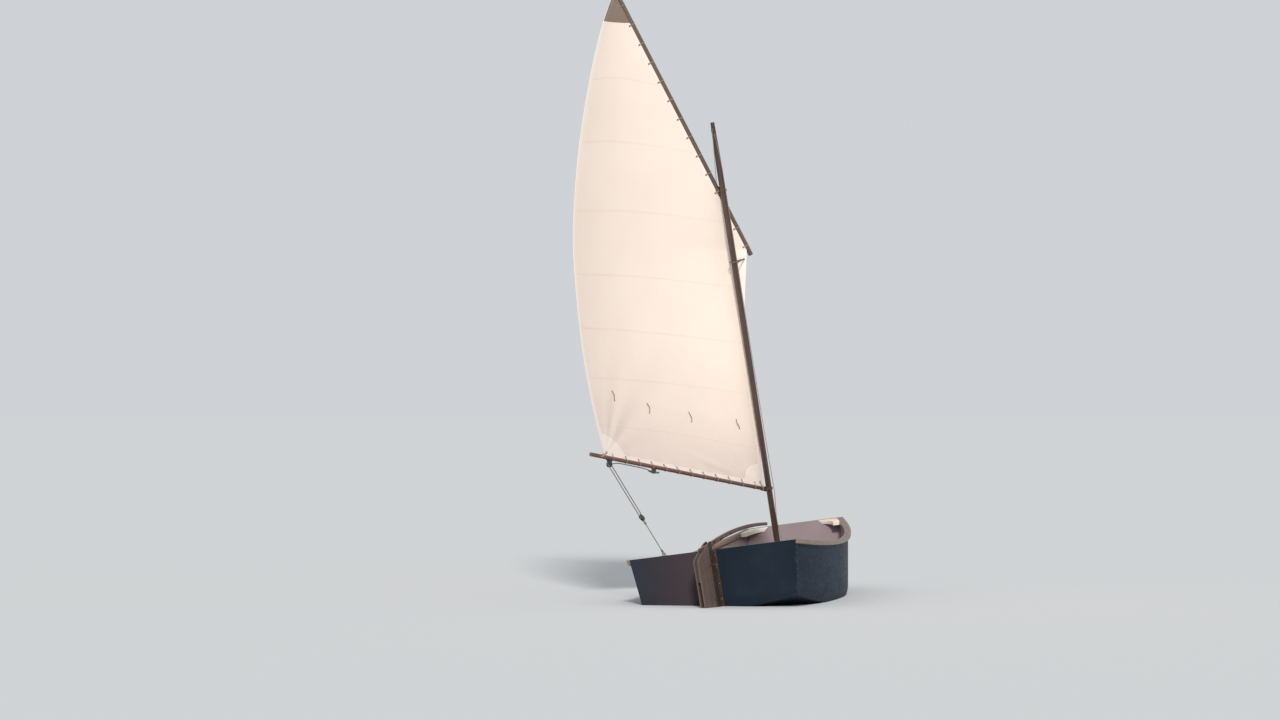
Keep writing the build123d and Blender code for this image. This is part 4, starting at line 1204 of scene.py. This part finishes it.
# Lashings at clew, tack and peak: several turns between the corner's eyelet and the spar
EARING_R = 0.0022
EARING_STEP = 0.0046
for s, t, spar, corner, lead, spar_r, turns in (
    (0.008, 0.985, boom_frame, (0.0, 1.0), 0.030, BOOM_R, 4),
    (0.008, 0.016, boom_frame, (0.0, 0.0), 0.006, BOOM_R, 3),
    (0.985, 0.35, yard_frame, (1.0, 0.0), 0.012, YARD_TIP_R, 4),
):
    hole = cloth(s, t)
    normal = cloth_normal(s, t)
    along_m = spar_z(spar, *corner) + lead
    for k in range(turns):
        centre = at(spar, 0.0, 0.0, along_m + EARING_STEP * k)
        out = hole - centre
        side = lead_side(turned(spar, 0, 0, 1), out, normal)
        path = belt(centre, out, side, spar_r + EARING_R * 1.2, EARING_R * (1.4 + 0.5 * k), 20)
        ties.add(*tube(path, EARING_R, 7, closed=True))
    eyelet(hole, normal, CORNER_EYELET_R)
tie_obj = ties.make("sail_ties", tie_pale, "rig")

# Lashings that hold each spar in the saddle of its collar, through holes in the saddle's cheeks
LASHING_R = 0.0021
SADDLE_HALF = 0.0118
LASHING_AT = [-0.0225, -0.0181, -0.0137, 0.0137, 0.0181, 0.0225]
lashings = Mesh()
for spar, crossing, spar_r, hole_in in (
    (boom_frame, -BOOM_FORE[0] * math.hypot(1, boom_slope), BOOM_R, 0.019),
    (yard_frame, -YARD_HEEL[0] * math.hypot(1, yard_slope), YARD_R, 0.0205),
):
    for shift in LASHING_AT:
        r = spar_r + LASHING_R * 1.05
        turns = [math.radians(-128 + 256 * share) for share in even(16)]
        path = [at(spar, r * math.sin(turn), r * math.cos(turn), crossing + shift) for turn in turns]
        path += [at(spar, sign * SADDLE_HALF, -hole_in, crossing + shift) for sign in (1, -1)]
        lashings.add(*tube(path, LASHING_R, 7, closed=True))
lashings.make("collar_lashings", tie_brown, "rig")
eyelet_obj = eyelets.make("sail_eyelets", brass, "rig")

# Reef points: short tails on both faces, hanging from an eyelet in the band
REEF_POINTS = [0.15, 0.604, 1.061, 1.492]
TAIL_LEN = 0.075
TAIL_DRIFT = 0.02
TAIL_R = 0.0026
TAIL_OFF = 0.0032
TAIL_BOW = 0.006
TAIL_STOP = (0.0022, 0.0018)
reef_tails = Mesh()
for k, aft in enumerate(REEF_POINTS):
    near = min(reef_line, key=lambda p: abs(p.x - aft))
    s, t = sail_st(near.x, near.y)
    for sign in (1, -1):
        pts = [cloth(s, t, 0.0)]
        drift = random.uniform(-TAIL_DRIFT, TAIL_DRIFT)
        for f in even(6):
            a = near.x + drift * f * f + TAIL_BOW * math.sin(5 * f + k)
            sj, tj = sail_st(a, near.y - TAIL_LEN * f)
            stand = HALF_T + TAIL_OFF + TAIL_BOW * math.sin(math.pi * f)
            pts.append(cloth(sj, tj, sign * stand))
        reef_tails.add(*rope(pts, TAIL_R, sides=5))
        reef_tails.add(*ring(frame_at(pts[-1], pts[-1] - pts[-2]), *TAIL_STOP, sides=12))
tails_obj = reef_tails.make("reef_points", tie_brown, "rig")

# Mainsheet: from the boom block to a lower block on a strop from the transom's eye
SHEET_R = 0.004
STROP_R = 0.0035
WHIP_STEP = 0.0052
WHIP_R = 0.0052
WHIP_CORD = 0.0026
BOOM_SHEAVE_R = 0.022
BOOM_SHEAVE_HANG = 0.0085
HEAD_SHEAVE_R = 0.016
SHEAVE_GROOVE = 0.68
LOWER_SHARE = 0.60
LOWER_R = 0.021
LOWER_W = 0.012
LOWER_GROOVE = 0.62
LUG_HALF = 0.0105
LUG_R = 0.0024
LUG_DOWN = 0.038
LUG_UP = 0.031
PIN_HALF = 0.0095
PIN_R = 0.004
STRAP_OUT = 0.0088
STRAP_DOWN = 0.036
STRAP_UP = 0.030
STRAP_R = 0.0019
eye_low, eye_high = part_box("sheet_eye")
eye_hole = Vector(((eye_low.x + eye_high.x) / 2, (eye_low.y + eye_high.y) / 2, eye_high.z - 0.014))
SHEAVE_DOWN = BOOM_R + BOOM_SHEAVE_R + BOOM_SHEAVE_HANG
SHEAVE_TRACK = BOOM_SHEAVE_R * SHEAVE_GROOVE + SHEET_R
block_z = boom_along(BLOCK_AFT)
sheave_at = at(boom_frame, -SHEAVE_DOWN, 0.0, block_z)
boom_axis = turned(boom_frame, 0, 0, 1)
boom_above = turned(boom_frame, 1, 0, 0)
pull = eye_hole - sheave_at
lower_at = sheave_at + pull * LOWER_SHARE
pull_dir = pull.normalized()
pull_side = (boom_axis - pull_dir * boom_axis.dot(pull_dir)).normalized()
block_face = pull_dir.cross(pull_side)

# The block's cheek: how far out from its inner face, and its size there
CHEEK = ((0.0, 1.0), (0.0035, 0.96), (0.0050, 0.72))
CHEEK_SIDES = 24
CHEEK_UP = 1.2
CHEEK_DOWN = 1.35
WHEEL_RIM = LOWER_R * 0.80
WHEEL_HALF = LOWER_W / 2 - 0.0006
WHEEL_BORE = 0.002
lower = Mesh()
for sign in (1, -1):
    verts = []
    for out, size in CHEEK:
        centre = lower_at + block_face * sign * (LOWER_W / 2 + out)
        for k in range(CHEEK_SIDES):
            turn = 2 * math.pi * k / CHEEK_SIDES
            long_way = math.cos(turn)
            long_way *= CHEEK_DOWN if long_way > 0 else CHEEK_UP
            verts.append(centre + (pull_dir * long_way + pull_side * math.sin(turn)) * LOWER_R * size)
    faces = capped(len(CHEEK), CHEEK_SIDES)
    lower.add(verts, faces if sign < 0 else turn_over(faces))
wheel = [
    (WHEEL_BORE, -WHEEL_HALF), (WHEEL_RIM, -WHEEL_HALF), (LOWER_R * LOWER_GROOVE, 0.0),
    (WHEEL_RIM, WHEEL_HALF), (WHEEL_BORE, WHEEL_HALF),
]
lower.add(*revolve(wheel, frame_at(lower_at, block_face), CHEEK_SIDES))
lower_obj = lower.make("sheet_lower_block", black, None, smooth=False)


def cross_pin(centre, half, radius, sides):
    straps.add(*tube([centre - block_face * half, centre + block_face * half], radius, sides))


straps = Mesh()
cross_pin(lower_at, PIN_HALF, PIN_R, 12)
for sign in (1, -1):
    a = lower_at + block_face * sign * STRAP_OUT
    straps.add(*tube([a - pull_dir * STRAP_UP, a, a + pull_dir * STRAP_DOWN], STRAP_R, 8))
low_lug = lower_at + pull_dir * LUG_DOWN
for lug in (low_lug, lower_at - pull_dir * LUG_UP):
    cross_pin(lug, LUG_HALF, LUG_R, 10)
strap_obj = straps.make("sheet_block_strap", steel, None)

# Standing part from the boom block's lug down round the lower wheel, and up to the boom block
track = LOWER_R * LOWER_GROOVE + SHEET_R
THIRDS = (0.33, 0.66)
stand_top = sheave_at - pull_side * SHEAVE_TRACK + pull_dir * 0.004
up_start = sheave_at + pull_side * SHEAVE_TRACK
path = [stand_top] + [stand_top.lerp(lower_at - pull_side * track, share) for share in THIRDS]
path += [lower_at + round_way(-pull_side, pull_dir, math.pi * share) * track for share in even(6)]
path += [(lower_at + pull_side * track).lerp(up_start, share) for share in THIRDS]
sheet_fall = Mesh()
sheet_fall.add(*rope(path + [up_start], SHEET_R))
fall_obj = sheet_fall.make("mainsheet_fall", sheet_grey, None)

# Strop between the lower lug and the eye, with whippings at both ends and a loop through the eye
LUG_GAP = 0.004
EYE_GAP = 0.004
STROP_TUCK = 0.006
WHIP_TOP = 0.012
WHIP_LOW = 0.022
LOOP_LONG = 0.018
LOOP_R = 0.0075
LOOP_CORD = 0.0030
strop = Mesh()
strop_top = low_lug + pull_dir * LUG_GAP
strop_line = [
    strop_top - pull_dir * STROP_TUCK, strop_top.lerp(eye_hole, 0.5), eye_hole - pull_dir * EYE_GAP,
]
strop.add(*rope(strop_line, STROP_R))
for base, away in ((strop_top + pull_dir * WHIP_TOP, 1), (eye_hole - pull_dir * WHIP_LOW, -1)):
    for turn in range(4):
        place = frame_at(base + pull_dir * away * WHIP_STEP * turn, pull_dir)
        strop.add(*ring(place, WHIP_R, WHIP_CORD, sides=14, around=7))
eye_loop = belt(eye_hole, -pull_dir * LOOP_LONG, Vector((1, 0, 0)), LOOP_R, EYE_GAP, 14)
strop.add(*tube(eye_loop, LOOP_CORD, 8, closed=True))
strop_obj = strop.make("sheet_strop", sheet_grey, None)

# Sheet along the boom to its cleat, with turns round the horns: up from their level, across and along
BOOM_TURNS = (
    (0.004, 0.012, 0.030), (0.006, 0.013, -0.035), (0.008, 0.0, -0.052), (0.004, -0.013, -0.030),
    (-0.006, 0.0, 0.0), (0.003, 0.013, 0.032), (0.007, 0.0, 0.054), (0.003, -0.013, 0.032),
    (-0.007, 0.0, 0.002), (0.004, 0.013, -0.034), (0.006, 0.012, -0.050),
)
cleat_z = boom_along(CLEAT_AFT)
over = []
for share in even(5):
    direction = (pull_side * (1 - share) + boom_above * share).normalized()
    over.append(sheave_at + direction * SHEAVE_TRACK)
HORN_DOWN = 0.026
horn = BOOM_R + HORN_DOWN
lead = [
    (-SHEAVE_DOWN + SHEAVE_TRACK * 0.2, 0.0, block_z - SHEAVE_TRACK),
    (-BOOM_R - 0.011, 0.004, block_z - 0.10), (-BOOM_R - 0.009, 0.006, cleat_z + 0.22),
    (-BOOM_R - 0.012, 0.009, cleat_z + 0.075),
]
lead += [(-horn + x, y, cleat_z + z) for x, y, z in BOOM_TURNS]
along = Mesh()
along.add(*rope(over + [at(boom_frame, *p) for p in lead], SHEET_R))
along.make("mainsheet_on_boom", sheet_grey, "rig")

# The strop, the lower block and the falls swing between the transom and the boom
for piece in (strop_obj, lower_obj, strap_obj, fall_obj):
    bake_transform(piece)

# Halyard: from the yard over the masthead block and down to the cleat on the mast
HALYARD_R = 0.0025
HEAD_BLOCK_UP = MAST_UP - 0.060
CLEAT_UP = 0.090
HORN_OUT = 0.030
HEAD_BLOCK_LOW = 0.024
HEAD_BLOCK_GAP = 0.0003
YARD_TOP_UP = 0.055
# Down the mast, in its frame, and round the cleat's horns: out from them, across and up
HALYARD_DOWN = (
    (-0.0245, -0.010, HEAD_BLOCK_UP - 0.06), (-0.0265, -0.0255, 2.80), (-0.0250, -0.0270, 2.70),
    (-0.0105, -0.0268, 2.10), (-0.003, -0.0272, 1.50), (-0.002, -0.0315, 0.85), (-0.001, -0.0375, 0.40),
    (0.001, -0.0375, 0.32), (0.044, -0.018, 0.185),
)
MAST_TURNS = (
    (-0.006, -0.014, 0.036), (-0.002, -0.015, -0.034), (0.0, 0.0, -0.056), (-0.004, 0.014, -0.034),
    (0.010, 0.0, 0.0), (-0.004, -0.014, 0.034), (0.0, 0.0, 0.056), (-0.004, 0.014, 0.034),
    (0.012, 0.0, 0.002), (-0.002, -0.015, -0.036), (0.002, -0.020, -0.075), (-0.002, -0.024, -0.13),
)
block_x = -(mast_r(HEAD_BLOCK_UP - HEAD_BLOCK_LOW) + HEAD_BLOCK_GAP + HEAD_SHEAVE_R)
wheel_r = HEAD_SHEAVE_R * SHEAVE_GROOVE + HALYARD_R
yard_cross = YARD_HEEL[1] - YARD_HEEL[0] * yard_slope
yard_top = at(rig_frame, -0.012, RIG_OFFSET - YARD_R * 0.3, yard_cross + YARD_TOP_UP)
aft_side = at(mast_frame, block_x - wheel_r, 0.0, HEAD_BLOCK_UP)
rise = Mesh()
rise.add(*rope([yard_top, yard_top.lerp(aft_side, 0.5), aft_side], HALYARD_R))
rise_obj = rise.make("halyard_to_yard", halyard_tan, None)
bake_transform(rise_obj)
line = []
for share in even(8):
    turn = math.pi * (1 - share)
    line.append((block_x + wheel_r * math.cos(turn), 0.0, HEAD_BLOCK_UP + wheel_r * math.sin(turn)))
line += HALYARD_DOWN
line += [(MAST_R + HORN_OUT + x, y, CLEAT_UP + z) for x, y, z in MAST_TURNS]
fall = Mesh()
fall.add(*rope([at(mast_frame, *p) for p in line], HALYARD_R, sides=5))
fall.make("halyard_fall", halyard_tan, "hull")
HITCH_STEP = 0.0052
HITCH_BELOW = 0.055
HITCH_OUT = 0.0028
hitch = Mesh()
hitch_z = (yard_frame.inverted() @ yard_top).z
for turn in range(3):
    centre = at(yard_frame, 0, 0, hitch_z - HITCH_BELOW + HITCH_STEP * turn)
    place = frame_at(centre, turned(yard_frame, 0, 0, 1))
    hitch.add(*ring(place, YARD_R + HITCH_OUT, HALYARD_R, sides=30))
hitch.make("halyard_hitch", halyard_tan, "rig")

# Screws and plugs, set on the CAD surfaces
trees = {}


def touch(name, origin, direction):
    """First point of a CAD node along a ray, and the surface's normal there."""
    if name not in trees:
        data = nodes[name].data
        verts = [v.co.copy() for v in data.vertices]
        polys = [tuple(p.vertices) for p in data.polygons]
        trees[name] = BVHTree.FromPolygons(verts, polys)
    point, normal, _, _ = trees[name].ray_cast(Vector(origin), Vector(direction).normalized())
    return point, normal


SCREW = [(0.0, 0.0011), (0.0016, 0.0010), (0.0029, 0.0006), (0.0036, 0.0), (0.0037, -0.0006)]
PLUG = [(0.0, 0.0003), (0.0050, 0.0003), (0.0053, -0.0004)]

# Gunwale screws, by station from the stern
GUNWALE_FIRST = -1.37
SPACING = 0.155
STATIONS = 18
GUNWALE_IN = 0.30
GUNWALE_STEP = 0.01
GUNWALE_STEPS = 42
SCREW_DOWN = 0.016
OUTSIDE = 1.2
ABOVE = 0.9
ASTERN = -1.9
# Screws up the side panels' ends: edge at a height, lean, that height, first screw, step and inset
PANEL_ENDS = (
    (-1.445, 0.14, 0.39, 0.04, 0.052, 0.012),
    (1.437, -0.47, 0.49, 0.19, 0.042, -0.012),
)
END_SCREWS = 7
thwart_low, thwart_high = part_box("mast_thwart")
SEAT_PLUGS = (
    ("mid_seat", -0.22, 0.022), ("mid_seat", -0.03, 0.022), ("stern_seat", -1.12, 0.022),
    ("stern_seat", -1.34, 0.045), ("mast_thwart", thwart_low.x + 0.03, 0.022),
    ("mast_thwart", thwart_high.x - 0.03, 0.022),
)
POST_SCREWS = [0.05, 0.16, 0.27, 0.36]
POST_SCREW_SIDE = 0.018
CHEEK_SCREWS = [(0.035, 0.24), (0.035, 0.36), (0.10, 0.36), (0.17, 0.34), (0.19, 0.26), (0.12, 0.26)]


def stud(part, name, origin, direction, profile, sides=12):
    """Head of a screw or plug where a ray meets a CAD node."""
    point, normal = touch(name, origin, direction)
    if point is not None:
        part.add(*revolve(profile, frame_at(point, normal), sides))


screws = Mesh()
rudder_screws = Mesh()
plugs = Mesh()
for side, name in ((1, "port"), (-1, "starboard")):
    for station in range(STATIONS):
        x = GUNWALE_FIRST + SPACING * station
        top = None
        for k in range(GUNWALE_STEPS):
            y = side * (GUNWALE_IN + GUNWALE_STEP * k)
            hit = touch("gunwale_" + name, (x, y, ABOVE), (0, 0, -1))[0]
            if hit is not None:
                top = hit
        if top is not None:
            stud(screws, "gunwale_" + name, (x, side * OUTSIDE, top.z - SCREW_DOWN), (0, -side, 0), SCREW)
    for edge_x, lean, edge_z, first, step, inset in PANEL_ENDS:
        for k in range(END_SCREWS):
            z = first + step * k
            x = edge_x + (edge_z - z) * lean + inset
            stud(screws, "side_panel_" + name, (x, side * OUTSIDE, z), (0, -side, 0), SCREW)
for name, x, inset in SEAT_PLUGS:
    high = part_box(name)[1]
    for side in (1, -1):
        stud(plugs, name, (x, side * (high.y - inset), high.z + 0.2), (0, 0, -1), PLUG, 16)
for z in POST_SCREWS:
    for y in (-POST_SCREW_SIDE, POST_SCREW_SIDE):
        stud(screws, "stern_post", (ASTERN, y, z), (1, 0, 0), SCREW)
for aft, z in CHEEK_SCREWS:
    for sign in (1, -1):
        origin = at(rudder_frame, RUDDER_FRONT - aft, sign * 0.3, z)
        stud(rudder_screws, "rudder_cheeks", origin, turned(rudder_frame, 0, -sign, 0), SCREW)
screws.make("hull_screws", brass, "hull")
rudder_screws.make("rudder_screws", brass, "rudder")
plugs.make("seat_plugs", wood("plug_wood", "trim", upright), "hull")

# Floor at the waterline of the heeled boat, with a hole that follows the hull, and a pale world
SPOKES = 240
INTO_PLY = 0.005
FLOOR_REACH = 160.0
FLOOR = (0.70, 0.72, 0.74, 1.0)
WORLD_LIGHT = 0.52
WORLD_COLOUR = (0.96, 0.98, 1.0, 1.0)
BACKGROUND = (0.62, 0.645, 0.67, 1.0)
up = Vector((0.0, -math.sin(math.radians(HEEL)), math.cos(math.radians(HEEL))))
level = frame_at(Vector((0, 0, 0)), up, Vector((1, 0, 0)))
flat = level.inverted()
cuts = []
for name in OUTWARD:
    data = nodes[name].data
    for e in data.polygons:
        pts = [flat @ data.vertices[i].co for i in e.vertices]
        crossing = []
        for a, b in zip(pts, pts[1:] + pts[:1]):
            if (a.z > 0) != (b.z > 0):
                crossing.append(a.lerp(b, a.z / (a.z - b.z)))
        if len(crossing) == 2:
            cuts.append(crossing)
inner_ring = []
outer_ring = []
faces = []
for k in range(SPOKES):
    turn = 2 * math.pi * k / SPOKES
    d = Vector((math.cos(turn), math.sin(turn), 0))
    n = Vector((-d.y, d.x, 0))
    far = 0.0
    for a, b in cuts:
        sa, sb = a.dot(n), b.dot(n)
        if (sa > 0) != (sb > 0):
            far = max(far, a.lerp(b, sa / (sa - sb)).dot(d))
    inner_ring.append(tuple(level @ (d * (far - INTO_PLY))))
    outer_ring.append(tuple(level @ (d * FLOOR_REACH)))
    m = (k + 1) % SPOKES
    faces.append((k, SPOKES + k, SPOKES + m, m))
data = bpy.data.meshes.new("floor")
data.from_pydata(inner_ring + outer_ring, [], faces)
floor = bpy.data.objects.new("floor", data)
scene.collection.objects.link(floor)


def pick_between(tree, output, switch, first, second):
    """Shows the first shader, and the second where the switch is on."""
    pick = node(tree, "ShaderNodeMixShader")
    link(tree, switch, pick.inputs[0])
    link(tree, first.outputs[0], pick.inputs[1])
    link(tree, second.outputs[0], pick.inputs[2])
    link(tree, pick.outputs[0], node(tree, output).inputs["Surface"])


mat = bpy.data.materials.new("floor")
mat.use_nodes = True
tree = mat.node_tree
tree.nodes.clear()
pick_between(tree, "ShaderNodeOutputMaterial", node(tree, "ShaderNodeNewGeometry").outputs["Backfacing"],
             node(tree, "ShaderNodeBsdfDiffuse", Color=FLOOR), node(tree, "ShaderNodeBsdfTransparent"))
data.materials.append(mat)

world = bpy.data.worlds.new("world")
scene.world = world
world.use_nodes = True
tree = world.node_tree
tree.nodes.clear()
pick_between(tree, "ShaderNodeOutputWorld", node(tree, "ShaderNodeLightPath").outputs["Is Camera Ray"],
             node(tree, "ShaderNodeBackground", Color=WORLD_COLOUR, Strength=WORLD_LIGHT),
             node(tree, "ShaderNodeBackground", Color=BACKGROUND))

# Camera: astern, a little to starboard and just above the water, level while the boat heels
turn = math.radians(CAMERA_TURN)
rise_angle = math.radians(CAMERA_RISE)
heel = Matrix.Rotation(math.radians(HEEL), 3, "X")
back = heel @ Vector((
    -math.cos(turn) * math.cos(rise_angle), -math.sin(turn) * math.cos(rise_angle), math.sin(rise_angle)
))
right = up.cross(back).normalized()
upward = back.cross(right)
CLIP_END = 1000.0
focal_px = CAMERA_LENS / SENSOR * PHOTO_W
aim = -back + right * ((PHOTO_W / 2 - ORIGIN_PX[0]) / focal_px)
aim = (aim + upward * ((ORIGIN_PX[1] - PHOTO_H / 2) / focal_px)).normalized()
cam_right = aim.cross(up).normalized()
cam_up = cam_right.cross(aim)
lens = bpy.data.cameras.new("camera")
lens.lens = CAMERA_LENS
lens.sensor_width = SENSOR
lens.clip_end = CLIP_END
camera = bpy.data.objects.new("camera", lens)
pose = Matrix((cam_right, cam_up, -aim)).transposed().to_4x4()
pose.translation = back * CAMERA_DISTANCE
camera.matrix_world = pose
scene.collection.objects.link(camera)
scene.camera = camera

# Lamp: a soft key from behind the camera, well above it
KEY = 2.45
KEY_SPREAD = 9
KEY_COLOUR = (1.0, 0.97, 0.93)
KEY_AWAY = 20.0
key_dir = (back * 0.82 + right * 0.06 + up * 0.46).normalized()
sun = bpy.data.lights.new("key", "SUN")
sun.energy = KEY
sun.angle = math.radians(KEY_SPREAD)
sun.color = KEY_COLOUR
sun_obj = bpy.data.objects.new("key", sun)
sun_obj.matrix_world = frame_at(key_dir * KEY_AWAY, key_dir)
scene.collection.objects.link(sun_obj)

scene.view_settings.view_transform = "Standard"
